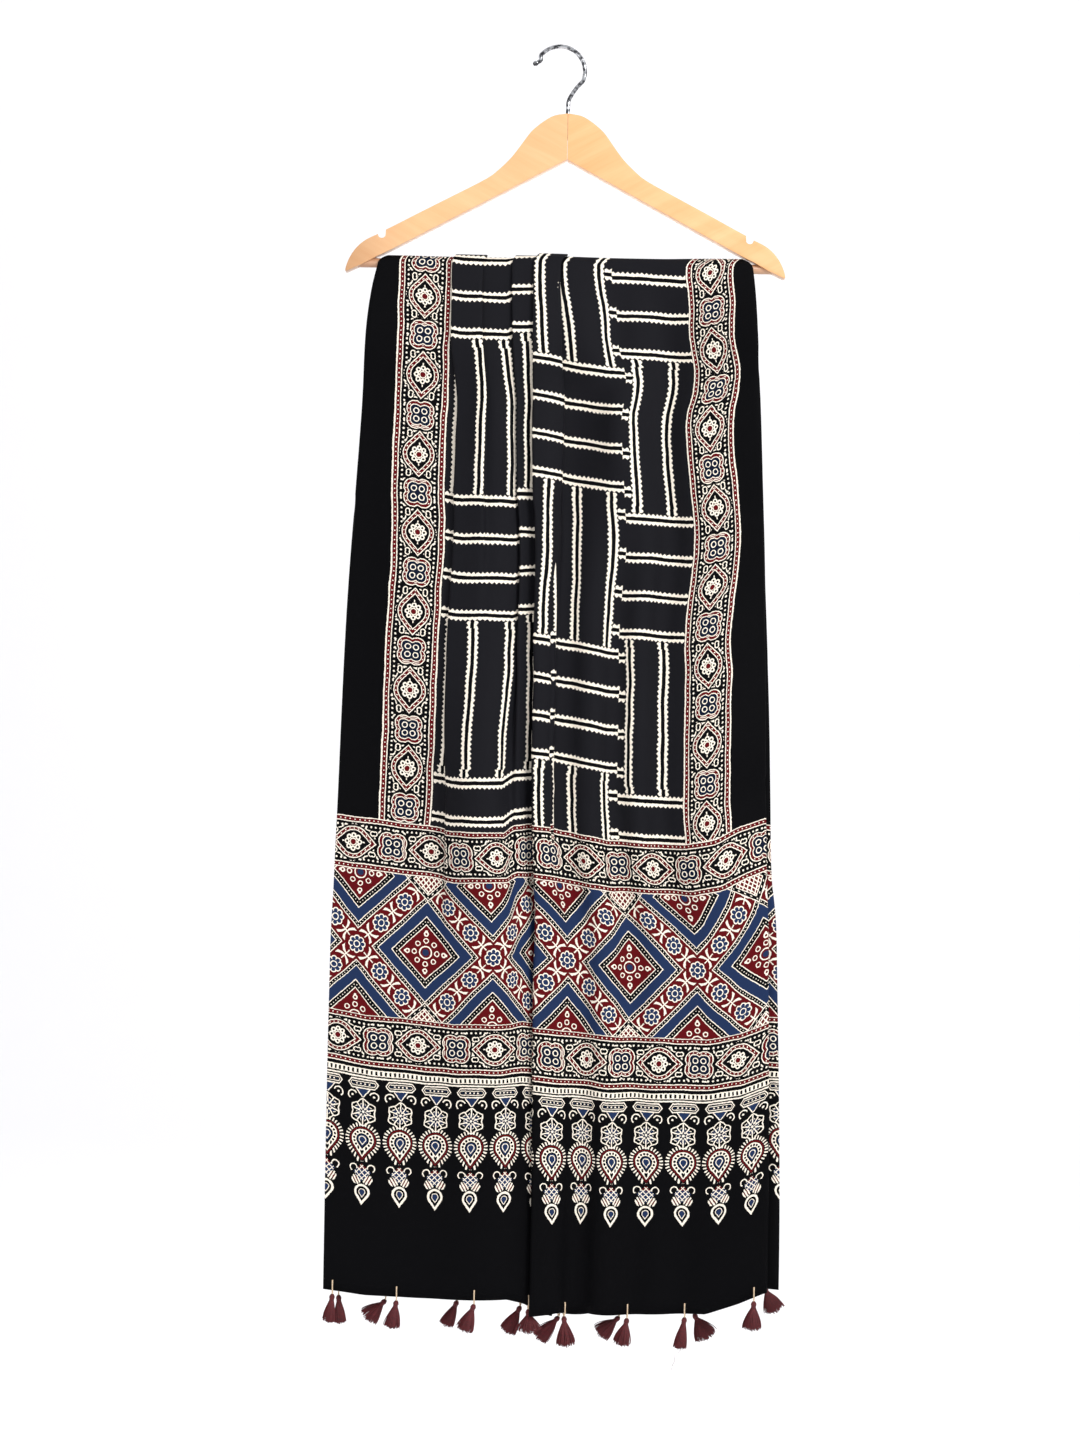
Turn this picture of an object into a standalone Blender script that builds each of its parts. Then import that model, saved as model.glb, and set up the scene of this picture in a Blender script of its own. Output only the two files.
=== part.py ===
"""A printed ajrakh stole hung over the trouser bar of a wooden clothes hanger.

The origin is the inner top of the hook's bend, where a rail carries the hanger. +X is the
viewer's right, +Z is up and the viewer stands on the -Y side. Tables and sizes are in
millimetres, and MM turns them into metres.
"""
import math

import bmesh
import bpy
import numpy as np
from mathutils import Matrix, Vector

MM = 0.001
GAP = 0.3

# Hanger, measured from the top of its dome on the shank's axis
SHANK_X = 8.3
DOME_Z = -63.1
ARM_THICKNESS = 14.0
ARM_EDGE_ROUND = 2.6
# Upper edge from the dome to the end: across, down
ARM_TOP = [
    (0.0, 0.0), (12.6, 2.1), (22.4, 7.5), (32.0, 15.2), (37.4, 21.3), (45.7, 33.0),
    (53.9, 43.6), (64.8, 54.4), (76.2, 63.2), (105.0, 78.6), (136.0, 94.8), (160.0, 107.6),
    (171.2, 113.4),
]
ARM_END = [
    (178.6, 117.6), (185.8, 120.9), (192.2, 124.7), (198.2, 130.0), (203.1, 136.4),
    (206.7, 143.4), (208.8, 149.6), (209.2, 152.8),
]
ARM_BOTTOM = [(207.6, 153.0), (193.5, 146.5), (179.0, 138.4), (171.4, 134.9), (80.0, 86.3), (0.0, 43.7)]
NOTCH_ACROSS = 175.0
NOTCH_DOWN = 116.0
NOTCH_RADIUS = 3.9
BAR_RADIUS = 4.5
BAR_HALF = 202.0
BAR_DOWN = 144.2
BAR_HOLE_FROM = 168.0

# Hook wire, from the same point
WIRE_RADIUS = 2.0
HOOK_RING_RADIUS = 23.8
HOOK_RING_ACROSS = -8.3
HOOK_RING_UP = 41.3
SHANK_DEPTH = 24.0
SHANK_HEAD_RADIUS = 3.0
SHANK_HEAD_HEIGHT = 2.2
HOOK_BALL_RADIUS = 2.5

# Cloth
CLOTH_THICKNESS = 1.2
CLOTH_WIDTH = 566.0
BACK_HEM_BELOW = 3.0
BAR_OFFSET = BAR_RADIUS + 0.35 + CLOTH_THICKNESS / 2
# Levels below the bar's centre at which the fold tables have a column; the first is the crest
LEVELS = [-8.6, 0.0, 65.0, 146.0, 356.0, 499.0, 652.0, 977.0]
LEFT_OUTLINE = [-160.0, -172.5, -187.5, -191.3, -203.3, -207.5, -211.0, -213.4]
RIGHT_FOLD = [156.0, 172.5, 180.0, 186.5, 196.0, 199.0, 203.6, 206.8]
RIGHT_SELVEDGE = [154.5, 171.0, 178.5, 186.0, 199.5, 205.0, 211.6, 217.3]
LOWEST_OFFSET = [0.0, 0.0, -2.5, -3.8, -3.8, -3.8, -3.8, -3.8]
# Left edge turned under: length turned, and the angle that it is turned through
TURNED_LENGTH = [24.0, 18.0, 8.0, 6.0, 1.0, 1.0, 1.0, 1.0]
TURNED_ANGLE = [180.0, 180.0, 180.0, 150.0, 0.0, 0.0, 0.0, 0.0]
TURNED_RADIUS = 1.0
# Pleats: side is +1 where the cloth on the right lies in front. Then, level by level, the
# pleat's middle across the flat cloth, the length that it hides and the radius of its bends.
PLEATS = [
    {"name": "border tuck", "side": 1,
     "middle": [105.0, 105.0, 105.0, 108.0, 108.0, 108.0, 108.0, 108.0],
     "hidden": [23.0, 23.0, 21.0, 11.0, 14.0, 2.0, 0.0, 0.0],
     "radius": [1.0, 1.0, 1.1, 1.3, 1.4, 1.5, 1.5, 1.5]},
    {"name": "second tuck", "side": -1,
     "middle": [144.0, 144.0, 144.0, 144.0, 144.0, 144.0, 144.0, 144.0],
     "hidden": [15.0, 15.0, 12.0, 6.0, 0.0, 0.0, 0.0, 0.0],
     "radius": [1.0, 1.0, 1.1, 1.3, 1.5, 1.5, 1.5, 1.5]},
    {"name": "third tuck", "side": 1,
     "middle": [191.0, 191.0, 191.0, 191.0, 191.0, 191.0, 191.0, 191.0],
     "hidden": [15.0, 15.0, 16.0, 21.0, 16.0, 2.0, 0.0, 0.0],
     "radius": [1.0, 1.0, 1.1, 1.3, 1.4, 1.5, 1.5, 1.5]},
    {"name": "main fold", "side": 1,
     "middle": [252.0, 252.0, 250.0, 238.0, 236.0, 236.0, 236.0, 236.0],
     "hidden": [26.0, 26.0, 30.0, 36.0, 42.0, 43.0, 43.0, 51.0],
     "radius": [1.0, 1.0, 1.3, 2.2, 3.0, 3.4, 3.4, 3.0]},
    {"name": "small tuck", "side": -1,
     "middle": [295.0, 295.0, 293.0, 289.0, 289.0, 289.0, 289.0, 289.0],
     "hidden": [21.0, 21.0, 12.0, 3.0, 0.0, 0.0, 0.0, 0.0],
     "radius": [1.0, 1.0, 1.1, 1.3, 1.5, 1.5, 1.5, 1.5]},
]
SHORTEST_HOLD = 2.0
RIGHT_FOLD_RADIUS = [1.0, 1.0, 1.5, 1.9, 1.6, 1.8, 2.0, 2.0]
# Soft waves: slope in degrees, + towards the viewer going right, at each thread across
WAVE_AT = [0, 30, 60, 86, 112, 130, 150, 176, 206, 216, 262, 284, 312, 340, 366, 390, 414, 436, 566]
WAVES = [
    [0, 0, -2, 0, 0, 0, -1, 0, 0, 0, 0, -6, -3, -4, -1, 0, 8, 3, 0],
    [0, 0, -2, 0, 0, 0, 0, 0, 0, 0, 0, -3, -4, -5, -2, 0, 9, 5, 0],
    [0, 2, -3, 0, 3, 4, -1, -9, -10, 0, 0, -12, 10, -44, 14, -18, 35, 26, 1],
    [0, 12, -3, -2, 9, 30, 12, -38, -37, 0, 0, -36, 21, 50, -34, -31, 52, 9, 0],
    [0, 15, -1, -3, 9, 14, 0, -34, -35, 0, 0, -50, 52, -52, 50, -46, 20, 5, 0],
    [0, 5, -2, 3, 44, 41, 4, -52, -50, 0, 0, -50, 52, -52, 52, -36, 19, 4, 0],
    [0, 5, 3, 2, 17, 14, 0, -50, -48, 0, 0, -22, 44, -45, 23, -13, 11, 3, 0],
    [0, 3, -2, 1, 14, 13, 0, -19, -20, 0, 0, -40, 48, -24, 17, -10, 21, 11, 0],
]
# Threads across the flat cloth, and how far below the bar's centre the front hem is there
DROP_AT = [0, 39, 90, 120, 176, 191, 220, 252, 276, 342, 426, 457, 481, 505, 566]
HEM_DROP = [977, 982, 985, 986, 986, 991, 1000, 1000, 997, 996, 995, 989, 982, 974, 971]
MEAN_HEM_DROP = 987.0
# Rows of the cloth's mesh: levels on each drop, and steps over the bar
DROP_ROWS = [12, 35, 65, 105, 146, 220, 300, 395, 499, 652, 815, MEAN_HEM_DROP]
BAR_STEPS = 3
BEND_STEPS = 3

# Tassels: place across the flat hem, sideways lean of the skirt in degrees
FRONT_TASSELS = [
    (9.0, -4.0), (72.0, 6.0), (146.0, 10.0), (205.0, 3.0), (284.0, 15.0), (353.0, 7.0),
    (411.0, -6.0), (476.0, -4.0),
]
BACK_TASSELS = [
    (15.0, 4.0), (60.0, -26.0), (129.0, -8.0), (195.0, -5.0), (277.0, -34.0), (347.0, -24.0),
    (417.0, 14.0), (558.0, 12.0),
]
CORD_RADIUS = 0.9
CORD_PIERCE_UP = 10.0
CORD_DROP = 3.4
HEAD_RADIUS = 2.4
HEAD_HEIGHT = 5.0
STRANDS = 15
STRAND_LENGTH = 20.5
STRAND_RADIUS = 1.15
SKIRT_SPREAD = 17.0


def clear_scene():
    for obj in list(bpy.data.objects):
        bpy.data.objects.remove(obj, do_unlink=True)


def material(name, colour, roughness, metallic=0.0):
    mat = bpy.data.materials.new(name)
    mat.use_nodes = True
    shader = mat.node_tree.nodes["Principled BSDF"]
    shader.inputs["Base Color"].default_value = (*colour, 1.0)
    shader.inputs["Roughness"].default_value = roughness
    shader.inputs["Metallic"].default_value = metallic
    return mat


def add_object(name, bm, mat, parent, smooth_angle=None):
    """Turns a bmesh in millimetres into a named object that hangs on the hanger's empty."""
    bmesh.ops.transform(bm, matrix=Matrix.Scale(MM, 4), verts=bm.verts)
    bmesh.ops.recalc_face_normals(bm, faces=bm.faces)
    mesh = bpy.data.meshes.new(name)
    bm.to_mesh(mesh)
    bm.free()
    if smooth_angle is not None:
        mesh.shade_smooth()
        mesh.set_sharp_from_angle(angle=math.radians(smooth_angle))
    obj = bpy.data.objects.new(name, mesh)
    mesh.materials.append(mat)
    bpy.context.collection.objects.link(obj)
    obj.parent = parent
    return obj


def cut_with(obj, cutter):
    """Takes a hidden cutter object out of an object."""
    cutter.hide_render = True
    cutter.display_type = "WIRE"
    boolean = obj.modifiers.new("cut_" + cutter.name, "BOOLEAN")
    boolean.operation = "DIFFERENCE"
    boolean.solver = "EXACT"
    boolean.object = cutter


def smooth_points(points, steps):
    """Points on the smooth curve through the given ones, with steps from each to the next."""
    pts = [Vector(p) for p in points]
    ends = [2 * pts[0] - pts[1]] + pts + [2 * pts[-1] - pts[-2]]
    out = []
    for i in range(1, len(ends) - 2):
        before, here, there, after = ends[i - 1:i + 3]
        for k in range(steps):
            t = k / steps
            out.append(0.5 * (2 * here + (there - before) * t
                              + (2 * before - 5 * here + 4 * there - after) * t ** 2
                              + (3 * here - before - 3 * there + after) * t ** 3))
    return out + [pts[-1]]


def tube(bm, path, radii, sides, side_axis=Vector((0.0, 1.0, 0.0))):
    """A closed tube along a path that keeps nearly square to side_axis."""
    rings = []
    for i, point in enumerate(path):
        ahead = (path[min(i + 1, len(path) - 1)] - path[max(i - 1, 0)]).normalized()
        across = ahead.cross(side_axis).normalized()
        up = across.cross(ahead)
        ring = []
        for k in range(sides):
            turn = 2 * math.pi * (k + 0.5) / sides
            ring.append(bm.verts.new(point + radii[i] * (math.cos(turn) * across + math.sin(turn) * up)))
        rings.append(ring)
    for lower, upper in zip(rings, rings[1:]):
        for k in range(sides):
            bm.faces.new((lower[k], lower[(k + 1) % sides], upper[(k + 1) % sides], upper[k]))
    bm.faces.new(list(reversed(rings[0])))
    bm.faces.new(rings[-1])


# Hanger

def notch_points():
    """The round notch in an arm's upper edge, from its inner lip to its outer one."""
    points = []
    for step in range(7):
        turn = math.radians(208.0 + 24.0 * step)
        points.append((NOTCH_ACROSS + NOTCH_RADIUS * math.cos(turn),
                       NOTCH_DOWN + 1.4 - NOTCH_RADIUS * math.sin(turn)))
    return points


def build_arm(name, side, mat, parent):
    """One half of the hanger, cut to its outline, rounded along its edges."""
    outline = ARM_TOP + notch_points() + ARM_END + ARM_BOTTOM
    bm = bmesh.new()
    ring = []
    for across, down in outline:
        x = side * max(across, GAP / 2)
        ring.append(bm.verts.new((x, -ARM_THICKNESS / 2, -down)))
    face = bm.faces.new(ring)
    pushed = bmesh.ops.extrude_face_region(bm, geom=[face])
    moved = [v for v in pushed["geom"] if isinstance(v, bmesh.types.BMVert)]
    bmesh.ops.translate(bm, verts=moved, vec=(0.0, ARM_THICKNESS, 0.0))
    rounded = []
    for edge in bm.edges:
        ends = [v.co for v in edge.verts]
        flat = abs(ends[0].y - ends[1].y) < 0.01
        at_joint = all(abs(p.x) < GAP for p in ends)
        in_notch = all(math.hypot(abs(p.x) - NOTCH_ACROSS, -p.z - NOTCH_DOWN) < 6.4 for p in ends)
        if flat and not at_joint and not in_notch:
            rounded.append(edge)
    bmesh.ops.bevel(bm, geom=rounded, offset=ARM_EDGE_ROUND, segments=2, profile=0.5,
                    affect="EDGES", material=-1, clamp_overlap=True)
    obj = add_object(name, bm, mat, parent, smooth_angle=32.0)

    bore = bmesh.new()
    profile = [(0.0, 6.0), (WIRE_RADIUS + GAP, 6.0), (WIRE_RADIUS + GAP, -SHANK_DEPTH + GAP),
               (SHANK_HEAD_RADIUS + GAP, -SHANK_DEPTH + GAP),
               (SHANK_HEAD_RADIUS + GAP, -SHANK_DEPTH - SHANK_HEAD_HEIGHT - GAP),
               (0.0, -SHANK_DEPTH - SHANK_HEAD_HEIGHT - GAP)]
    verts = [bore.verts.new((r, 0.0, z)) for r, z in profile]
    edges = [bore.edges.new(pair) for pair in zip(verts, verts[1:])]
    bmesh.ops.spin(bore, geom=verts + edges, cent=(0, 0, 0), axis=(0, 0, 1), dvec=(0, 0, 0),
                   angle=2 * math.pi, steps=16, use_merge=True)
    bmesh.ops.remove_doubles(bore, verts=bore.verts, dist=0.001)
    cut_with(obj, add_object("bore_for_" + name, bore, mat, parent))

    hole = bmesh.new()
    depth = BAR_HALF + GAP - BAR_HOLE_FROM
    place = Matrix.Translation((side * (BAR_HOLE_FROM + depth / 2), 0.0, -BAR_DOWN))
    bmesh.ops.create_cone(hole, cap_ends=True, segments=20, radius1=BAR_RADIUS + GAP,
                          radius2=BAR_RADIUS + GAP, depth=depth,
                          matrix=place @ Matrix.Rotation(math.pi / 2, 4, "Y"))
    cut_with(obj, add_object("socket_for_" + name, hole, mat, parent))
    return obj


def build_bar(mat, parent):
    bm = bmesh.new()
    place = Matrix.Translation((0.0, 0.0, -BAR_DOWN)) @ Matrix.Rotation(math.pi / 2, 4, "Y")
    bmesh.ops.create_cone(bm, cap_ends=True, segments=20, radius1=BAR_RADIUS, radius2=BAR_RADIUS,
                          depth=2 * BAR_HALF, matrix=place)
    return add_object("trouser_bar", bm, mat, parent, smooth_angle=40.0)


def hook_path():
    """The wire's line: head, shank, the swing out to the right, the ring and the flicked tip."""
    points = [(0.0, 0.0, -SHANK_DEPTH), (0.0, 0.0, -12.0), (0.0, 0.0, 0.0), (0.0, 0.0, 8.0),
              (0.6, 0.0, 13.6), (3.4, 0.0, 19.4), (8.4, 0.0, 26.6)]
    for degrees in range(-20, 141, 20):
        turn = math.radians(degrees)
        points.append((HOOK_RING_ACROSS + HOOK_RING_RADIUS * math.cos(turn), 0.0,
                       HOOK_RING_UP + HOOK_RING_RADIUS * math.sin(turn)))
    return points + [(-26.8, 0.0, 51.8), (-29.8, 0.0, 49.6)]


def build_hook(mat, parent):
    path = smooth_points(hook_path(), 2)
    radii = [WIRE_RADIUS] * len(path)
    head_low = Vector((0.0, 0.0, -SHANK_DEPTH - SHANK_HEAD_HEIGHT))
    head_high = Vector((0.0, 0.0, -SHANK_DEPTH - 0.01))
    path = [head_low, head_high] + path
    radii = [SHANK_HEAD_RADIUS, SHANK_HEAD_RADIUS] + radii
    tip = path[-1]
    ahead = (path[-1] - path[-2]).normalized()
    for along, radius in [(0.5, 2.2), (2.4, HOOK_BALL_RADIUS), (4.0, 1.9), (4.8, 0.7)]:
        path.append(tip + along * ahead)
        radii.append(radius)
    bm = bmesh.new()
    tube(bm, path, radii, 10)
    return add_object("hook", bm, mat, parent, smooth_angle=50.0)


# Cloth

def at_level(values, level):
    """A table's value between its levels, on a curve that passes smoothly through each."""
    values = np.asarray(values, dtype=float)
    levels = np.asarray(LEVELS)
    level = min(max(level, levels[0]), levels[-1])
    i = min(int(np.searchsorted(levels, level, side="right")) - 1, len(levels) - 2)
    t = (level - levels[i]) / (levels[i + 1] - levels[i])
    ease = t * t * (3 - 2 * t) * 0.6 + t * 0.4
    return values[i] + (values[i + 1] - values[i]) * ease


def pleat_stations(pleat, level):
    """Where a pleat's two bends begin and end across the cloth, and how far it turns."""
    middle = at_level(pleat["middle"], level)
    hidden = max(at_level(pleat["hidden"], level), 0.0)
    bend = math.pi * at_level(pleat["radius"], level)
    hold = max((hidden - 2 * bend) / 2, SHORTEST_HOLD)
    turn = math.pi * min(math.sqrt(hidden / (2 * bend + 2 * SHORTEST_HOLD)), 1.0)
    stations = [middle - hold / 2 - bend, middle - hold / 2, middle + hold / 2, middle + hold / 2 + bend]
    return stations, pleat["side"] * turn


def walk(angles_at, angles, columns):
    """Runs along the cloth's width, so that its length is kept, and gives x and the offset."""
    fine = 6
    x = [0.0]
    offset = [0.0]
    for start, end in zip(columns, columns[1:]):
        mids = start + (end - start) * (np.arange(fine) + 0.5) / fine
        slope = np.interp(mids, angles_at, angles)
        x.append(x[-1] + float(np.mean(np.cos(slope))) * (end - start))
        offset.append(offset[-1] + float(np.mean(np.sin(slope))) * (end - start))
    return np.array(x), np.array(offset)


def cloth_curve(level):
    """The cloth's line at one level: thread, x and offset from the bar, column by column."""
    turned = at_level(TURNED_LENGTH, level)
    turned_bend = math.pi * TURNED_RADIUS
    turned_angle = math.radians(at_level(TURNED_ANGLE, level))
    waves = [math.radians(at_level([row[k] for row in WAVES], level)) for k in range(len(WAVE_AT))]
    steps_at = [0.0, turned, turned + turned_bend]
    steps = [turned_angle, turned_angle, 0.0]
    stations = [0.0, turned, turned + turned_bend]
    for pleat in PLEATS:
        where, turn = pleat_stations(pleat, level)
        stations += where
        steps_at += where
        steps += [0.0, turn, turn, 0.0]
    scan = np.linspace(0.0, CLOTH_WIDTH, 1133)
    total = np.interp(scan, WAVE_AT, waves) + np.interp(scan, steps_at, steps)
    x, _ = walk(scan, total, scan)
    x += at_level(LEFT_OUTLINE, level) - x[scan < 60].min()

    bend_radius = at_level(RIGHT_FOLD_RADIUS, level)
    bend = math.pi * bend_radius
    turn_x = at_level(RIGHT_FOLD, level) - bend_radius
    beyond = np.where((scan > 400) & (x >= turn_x))[0]
    fold = float(scan[beyond[0]]) if len(beyond) else CLOTH_WIDTH - 40.0
    left_over = CLOTH_WIDTH - fold - 2 * bend
    back = (left_over - (at_level(RIGHT_SELVEDGE, level) - turn_x)) / 2
    stations += [fold, fold + bend, fold + bend + back, fold + 2 * bend + back, CLOTH_WIDTH]
    steps_at += [fold, fold + bend, fold + bend + back, fold + 2 * bend + back]
    steps += [0.0, -math.pi, -math.pi, 0.0]

    columns = columns_between(stations)
    fine = np.unique(np.concatenate([scan, columns]))
    # The layers behind the right fold run beside the panel in front of them
    beside = np.interp(fine, [0.0, fold, fold + bend, fold + bend + back, fold + 2 * bend + back,
                              fold + 2 * bend + 2 * back, CLOTH_WIDTH],
                       [0.0, fold, fold, fold - back, fold - back, fold, fold])
    total = np.interp(beside, WAVE_AT, waves) + np.interp(fine, steps_at, steps)
    x, offset = walk(fine, total, fine)
    x = np.interp(columns, fine, x)
    offset = np.interp(columns, fine, offset)
    x += at_level(LEFT_OUTLINE, level) - x[:12].min()
    offset += at_level(LOWEST_OFFSET, level) - offset.min()
    return columns, x, offset


# Columns from each station to the next: the turned edge, then each pleat's bends and the
# panels between them, then the right fold and its strip
COLUMN_COUNTS = [1, BEND_STEPS, 4, BEND_STEPS, 1, BEND_STEPS, 2, BEND_STEPS, 1, BEND_STEPS, 2,
                 BEND_STEPS, 1, BEND_STEPS, 2, BEND_STEPS, 1, BEND_STEPS, 2, BEND_STEPS, 1,
                 BEND_STEPS, 10, BEND_STEPS, 2, BEND_STEPS, 2]


def columns_between(stations):
    columns = [stations[0]]
    for start, end, count in zip(stations, stations[1:], COLUMN_COUNTS):
        columns += [start + (end - start) * (k + 1) / count for k in range(count)]
    return np.array(columns)


def front_row(level):
    """One row of the front drop."""
    columns, x, offset = cloth_curve(level)
    down = level * np.interp(columns, DROP_AT, HEM_DROP) / MEAN_HEM_DROP
    return np.stack([x, -(BAR_OFFSET + offset), -BAR_DOWN - down], axis=1)


def cloth_rows():
    """Rows of points from the front hem, up over the bar and down to the back hem."""
    front = [front_row(level) for level in reversed(DROP_ROWS)]
    over = []
    for step in range(2 * BAR_STEPS + 1):
        turn = math.pi / 2 * (step / BAR_STEPS - 1)
        crest = 1 - abs(step / BAR_STEPS - 1)
        columns, x, offset = cloth_curve(LEVELS[0] * crest)
        reach = BAR_OFFSET + offset
        over.append(np.stack([x, reach * math.sin(turn), -BAR_DOWN + reach * math.cos(turn)], axis=1))
    back = []
    for level in DROP_ROWS:
        columns, x, offset = cloth_curve(level)
        down = level * (np.interp(columns, DROP_AT, HEM_DROP) + BACK_HEM_BELOW) / MEAN_HEM_DROP
        back.append(np.stack([x, BAR_OFFSET + offset, -BAR_DOWN - down], axis=1))
    return np.array(front + over + back)


def row_normals(rows):
    """Unit normals of a grid of points, from its rows and columns."""
    down = np.gradient(rows, axis=0)
    across = np.gradient(rows, axis=1)
    normals = np.cross(across, down)
    return normals / np.linalg.norm(normals, axis=2, keepdims=True)


def build_cloth(mat, parent):
    rows = cloth_rows()
    half = row_normals(rows) * CLOTH_THICKNESS / 2
    bm = bmesh.new()
    sides = []
    for grid in (rows + half, rows - half):
        sides.append([[bm.verts.new(point) for point in row] for row in grid])
    outer, inner = sides
    last_row = len(rows) - 1
    last_column = len(rows[0]) - 1
    for i in range(last_row):
        for j in range(last_column):
            bm.faces.new((outer[i][j], outer[i][j + 1], outer[i + 1][j + 1], outer[i + 1][j]))
            bm.faces.new((inner[i][j], inner[i + 1][j], inner[i + 1][j + 1], inner[i][j + 1]))
    for i in range(last_row):
        bm.faces.new((outer[i][0], outer[i + 1][0], inner[i + 1][0], inner[i][0]))
        bm.faces.new((outer[i][last_column], inner[i][last_column],
                      inner[i + 1][last_column], outer[i + 1][last_column]))
    for j in range(last_column):
        bm.faces.new((outer[0][j], inner[0][j], inner[0][j + 1], outer[0][j + 1]))
        bm.faces.new((outer[last_row][j], outer[last_row][j + 1],
                      inner[last_row][j + 1], inner[last_row][j]))
    return add_object("ajrakh_cloth", bm, mat, parent, smooth_angle=60.0)


# Tassels

def hem_place(across, rows, columns):
    """A point on the front or back hem at a place across the cloth, and its outward side."""
    hem = rows[0]
    above = rows[1]
    low = Vector([float(np.interp(across, columns, hem[:, k])) for k in range(3)])
    high = Vector([float(np.interp(across, columns, above[:, k])) for k in range(3)])
    step = 2.0
    left = Vector([float(np.interp(across - step, columns, hem[:, k])) for k in range(3)])
    right = Vector([float(np.interp(across + step, columns, hem[:, k])) for k in range(3)])
    up = (high - low).normalized()
    outward = (right - left).cross(up).normalized()
    return low, up, outward


def build_tassel(name, place, facing, lean, cord_mat, yarn_mat, parent):
    """A cord clipped round the hem and a tassel with its strands fused in its head."""
    low, up, outward = place
    if outward.y * facing < 0:
        outward = -outward
    clear = CLOTH_THICKNESS / 2 + GAP + CORD_RADIUS
    bottom = low - up * CORD_DROP
    route = [low + up * CORD_PIERCE_UP + outward * clear, low + up * 4.0 + outward * clear,
             low - up * 1.4 + outward * clear * 0.9, bottom,
             low - up * 1.4 - outward * clear * 0.9, low + up * 4.0 - outward * clear,
             low + up * CORD_PIERCE_UP - outward * clear]
    bm = bmesh.new()
    tube(bm, route, [CORD_RADIUS] * len(route), 5, side_axis=up.cross(outward))
    add_object("cord_" + name, bm, cord_mat, parent, smooth_angle=60.0)

    swing = Matrix.Rotation(math.radians(-lean), 3, "Y")
    crown = bottom - Vector((0.0, 0.0, CORD_RADIUS + GAP))
    bm = bmesh.new()
    sides = STRANDS
    rings = []
    for along, radius in [(0.0, 0.9), (1.0, 1.8), (3.0, HEAD_RADIUS), (HEAD_HEIGHT, HEAD_RADIUS - 0.3)]:
        ring = []
        for k in range(sides):
            turn = 2 * math.pi * k / sides
            local = Vector((radius * math.cos(turn), radius * math.sin(turn) * 0.8, -along))
            ring.append(bm.verts.new(crown + swing @ local))
        rings.append(ring)
    bm.faces.new(list(reversed(rings[0])))
    for upper, lower in zip(rings, rings[1:]):
        for k in range(sides):
            bm.faces.new((upper[k], upper[(k + 1) % sides], lower[(k + 1) % sides], lower[k]))
    hub = bm.verts.new(crown + swing @ Vector((0.0, 0.0, -HEAD_HEIGHT)))
    for k in range(sides):
        here, there = rings[-1][k], rings[-1][(k + 1) % sides]
        turn = 2 * math.pi * (k + 0.5) / sides
        inner = (here.co + there.co) / 2 * 0.45 + hub.co * 0.55
        wobble = 1.0 + 0.09 * math.sin(2.4 * k + low.x)
        root = [here, there, bm.verts.new(inner)]
        bm.faces.new((hub, here, root[2]))
        bm.faces.new((there, hub, root[2]))
        rings_down = [root]
        for part in (0.5, 1.0):
            spread = SKIRT_SPREAD / 2 * (0.42 + 0.58 * part) * (1.0 if k % 2 else 0.62)
            centre = Vector((spread * math.cos(turn), spread * math.sin(turn) * 0.55,
                             -HEAD_HEIGHT - STRAND_LENGTH * part * wobble))
            ring = []
            for corner in root:
                arm = corner.co - (root[0].co + root[1].co + root[2].co) / 3
                arm = arm.normalized() * STRAND_RADIUS * (1.0 - 0.3 * part)
                ring.append(bm.verts.new(crown + swing @ centre + arm))
            rings_down.append(ring)
        for upper, lower in zip(rings_down, rings_down[1:]):
            for c in range(3):
                bm.faces.new((upper[c], upper[(c + 1) % 3], lower[(c + 1) % 3], lower[c]))
        bm.faces.new(rings_down[-1])
    add_object("tassel_" + name, bm, yarn_mat, parent)


def build_tassels(cord_mat, yarn_mat, parent):
    rows = cloth_rows()
    columns, _, _ = cloth_curve(MEAN_HEM_DROP)
    for letter, places, grid, facing in (("front", FRONT_TASSELS, rows, -1),
                                         ("back", BACK_TASSELS, rows[::-1], 1)):
        for number, (across, lean) in enumerate(places, start=1):
            place = hem_place(across, grid, columns)
            build_tassel(f"{letter}_{number}", place, facing, lean, cord_mat, yarn_mat, parent)


def main():
    clear_scene()
    wood = material("beech_wood", (0.91, 0.62, 0.33), 0.42)
    bar_wood = material("bar_wood", (0.86, 0.55, 0.33), 0.5)
    chrome = material("chrome", (0.82, 0.83, 0.85), 0.12, metallic=1.0)
    cotton = material("printed_cotton", (0.03, 0.028, 0.033), 0.85)
    cord_yarn = material("cream_cord", (0.88, 0.76, 0.60), 0.8)
    tassel_yarn = material("maroon_yarn", (0.25, 0.01, 0.02), 0.7)
    hanger_top = bpy.data.objects.new("hanger_top", None)
    bpy.context.collection.objects.link(hanger_top)
    hanger_top.location = (SHANK_X * MM, 0.0, DOME_Z * MM)
    build_arm("arm_left", -1, wood, hanger_top)
    build_arm("arm_right", 1, wood, hanger_top)
    build_bar(bar_wood, hanger_top)
    build_hook(chrome, hanger_top)
    build_cloth(cotton, hanger_top)
    build_tassels(cord_yarn, tassel_yarn, hanger_top)


main()
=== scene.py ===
"""An ajrakh stole on a wooden clothes hanger, dressed with its cloth, print, tassels and wood."""
import logging
import math
import random
from dataclasses import dataclass, field
from enum import Enum
from typing import Optional, Sequence, Union

import bmesh
import bpy
import numpy as np
from mathutils import Matrix, Vector


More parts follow.
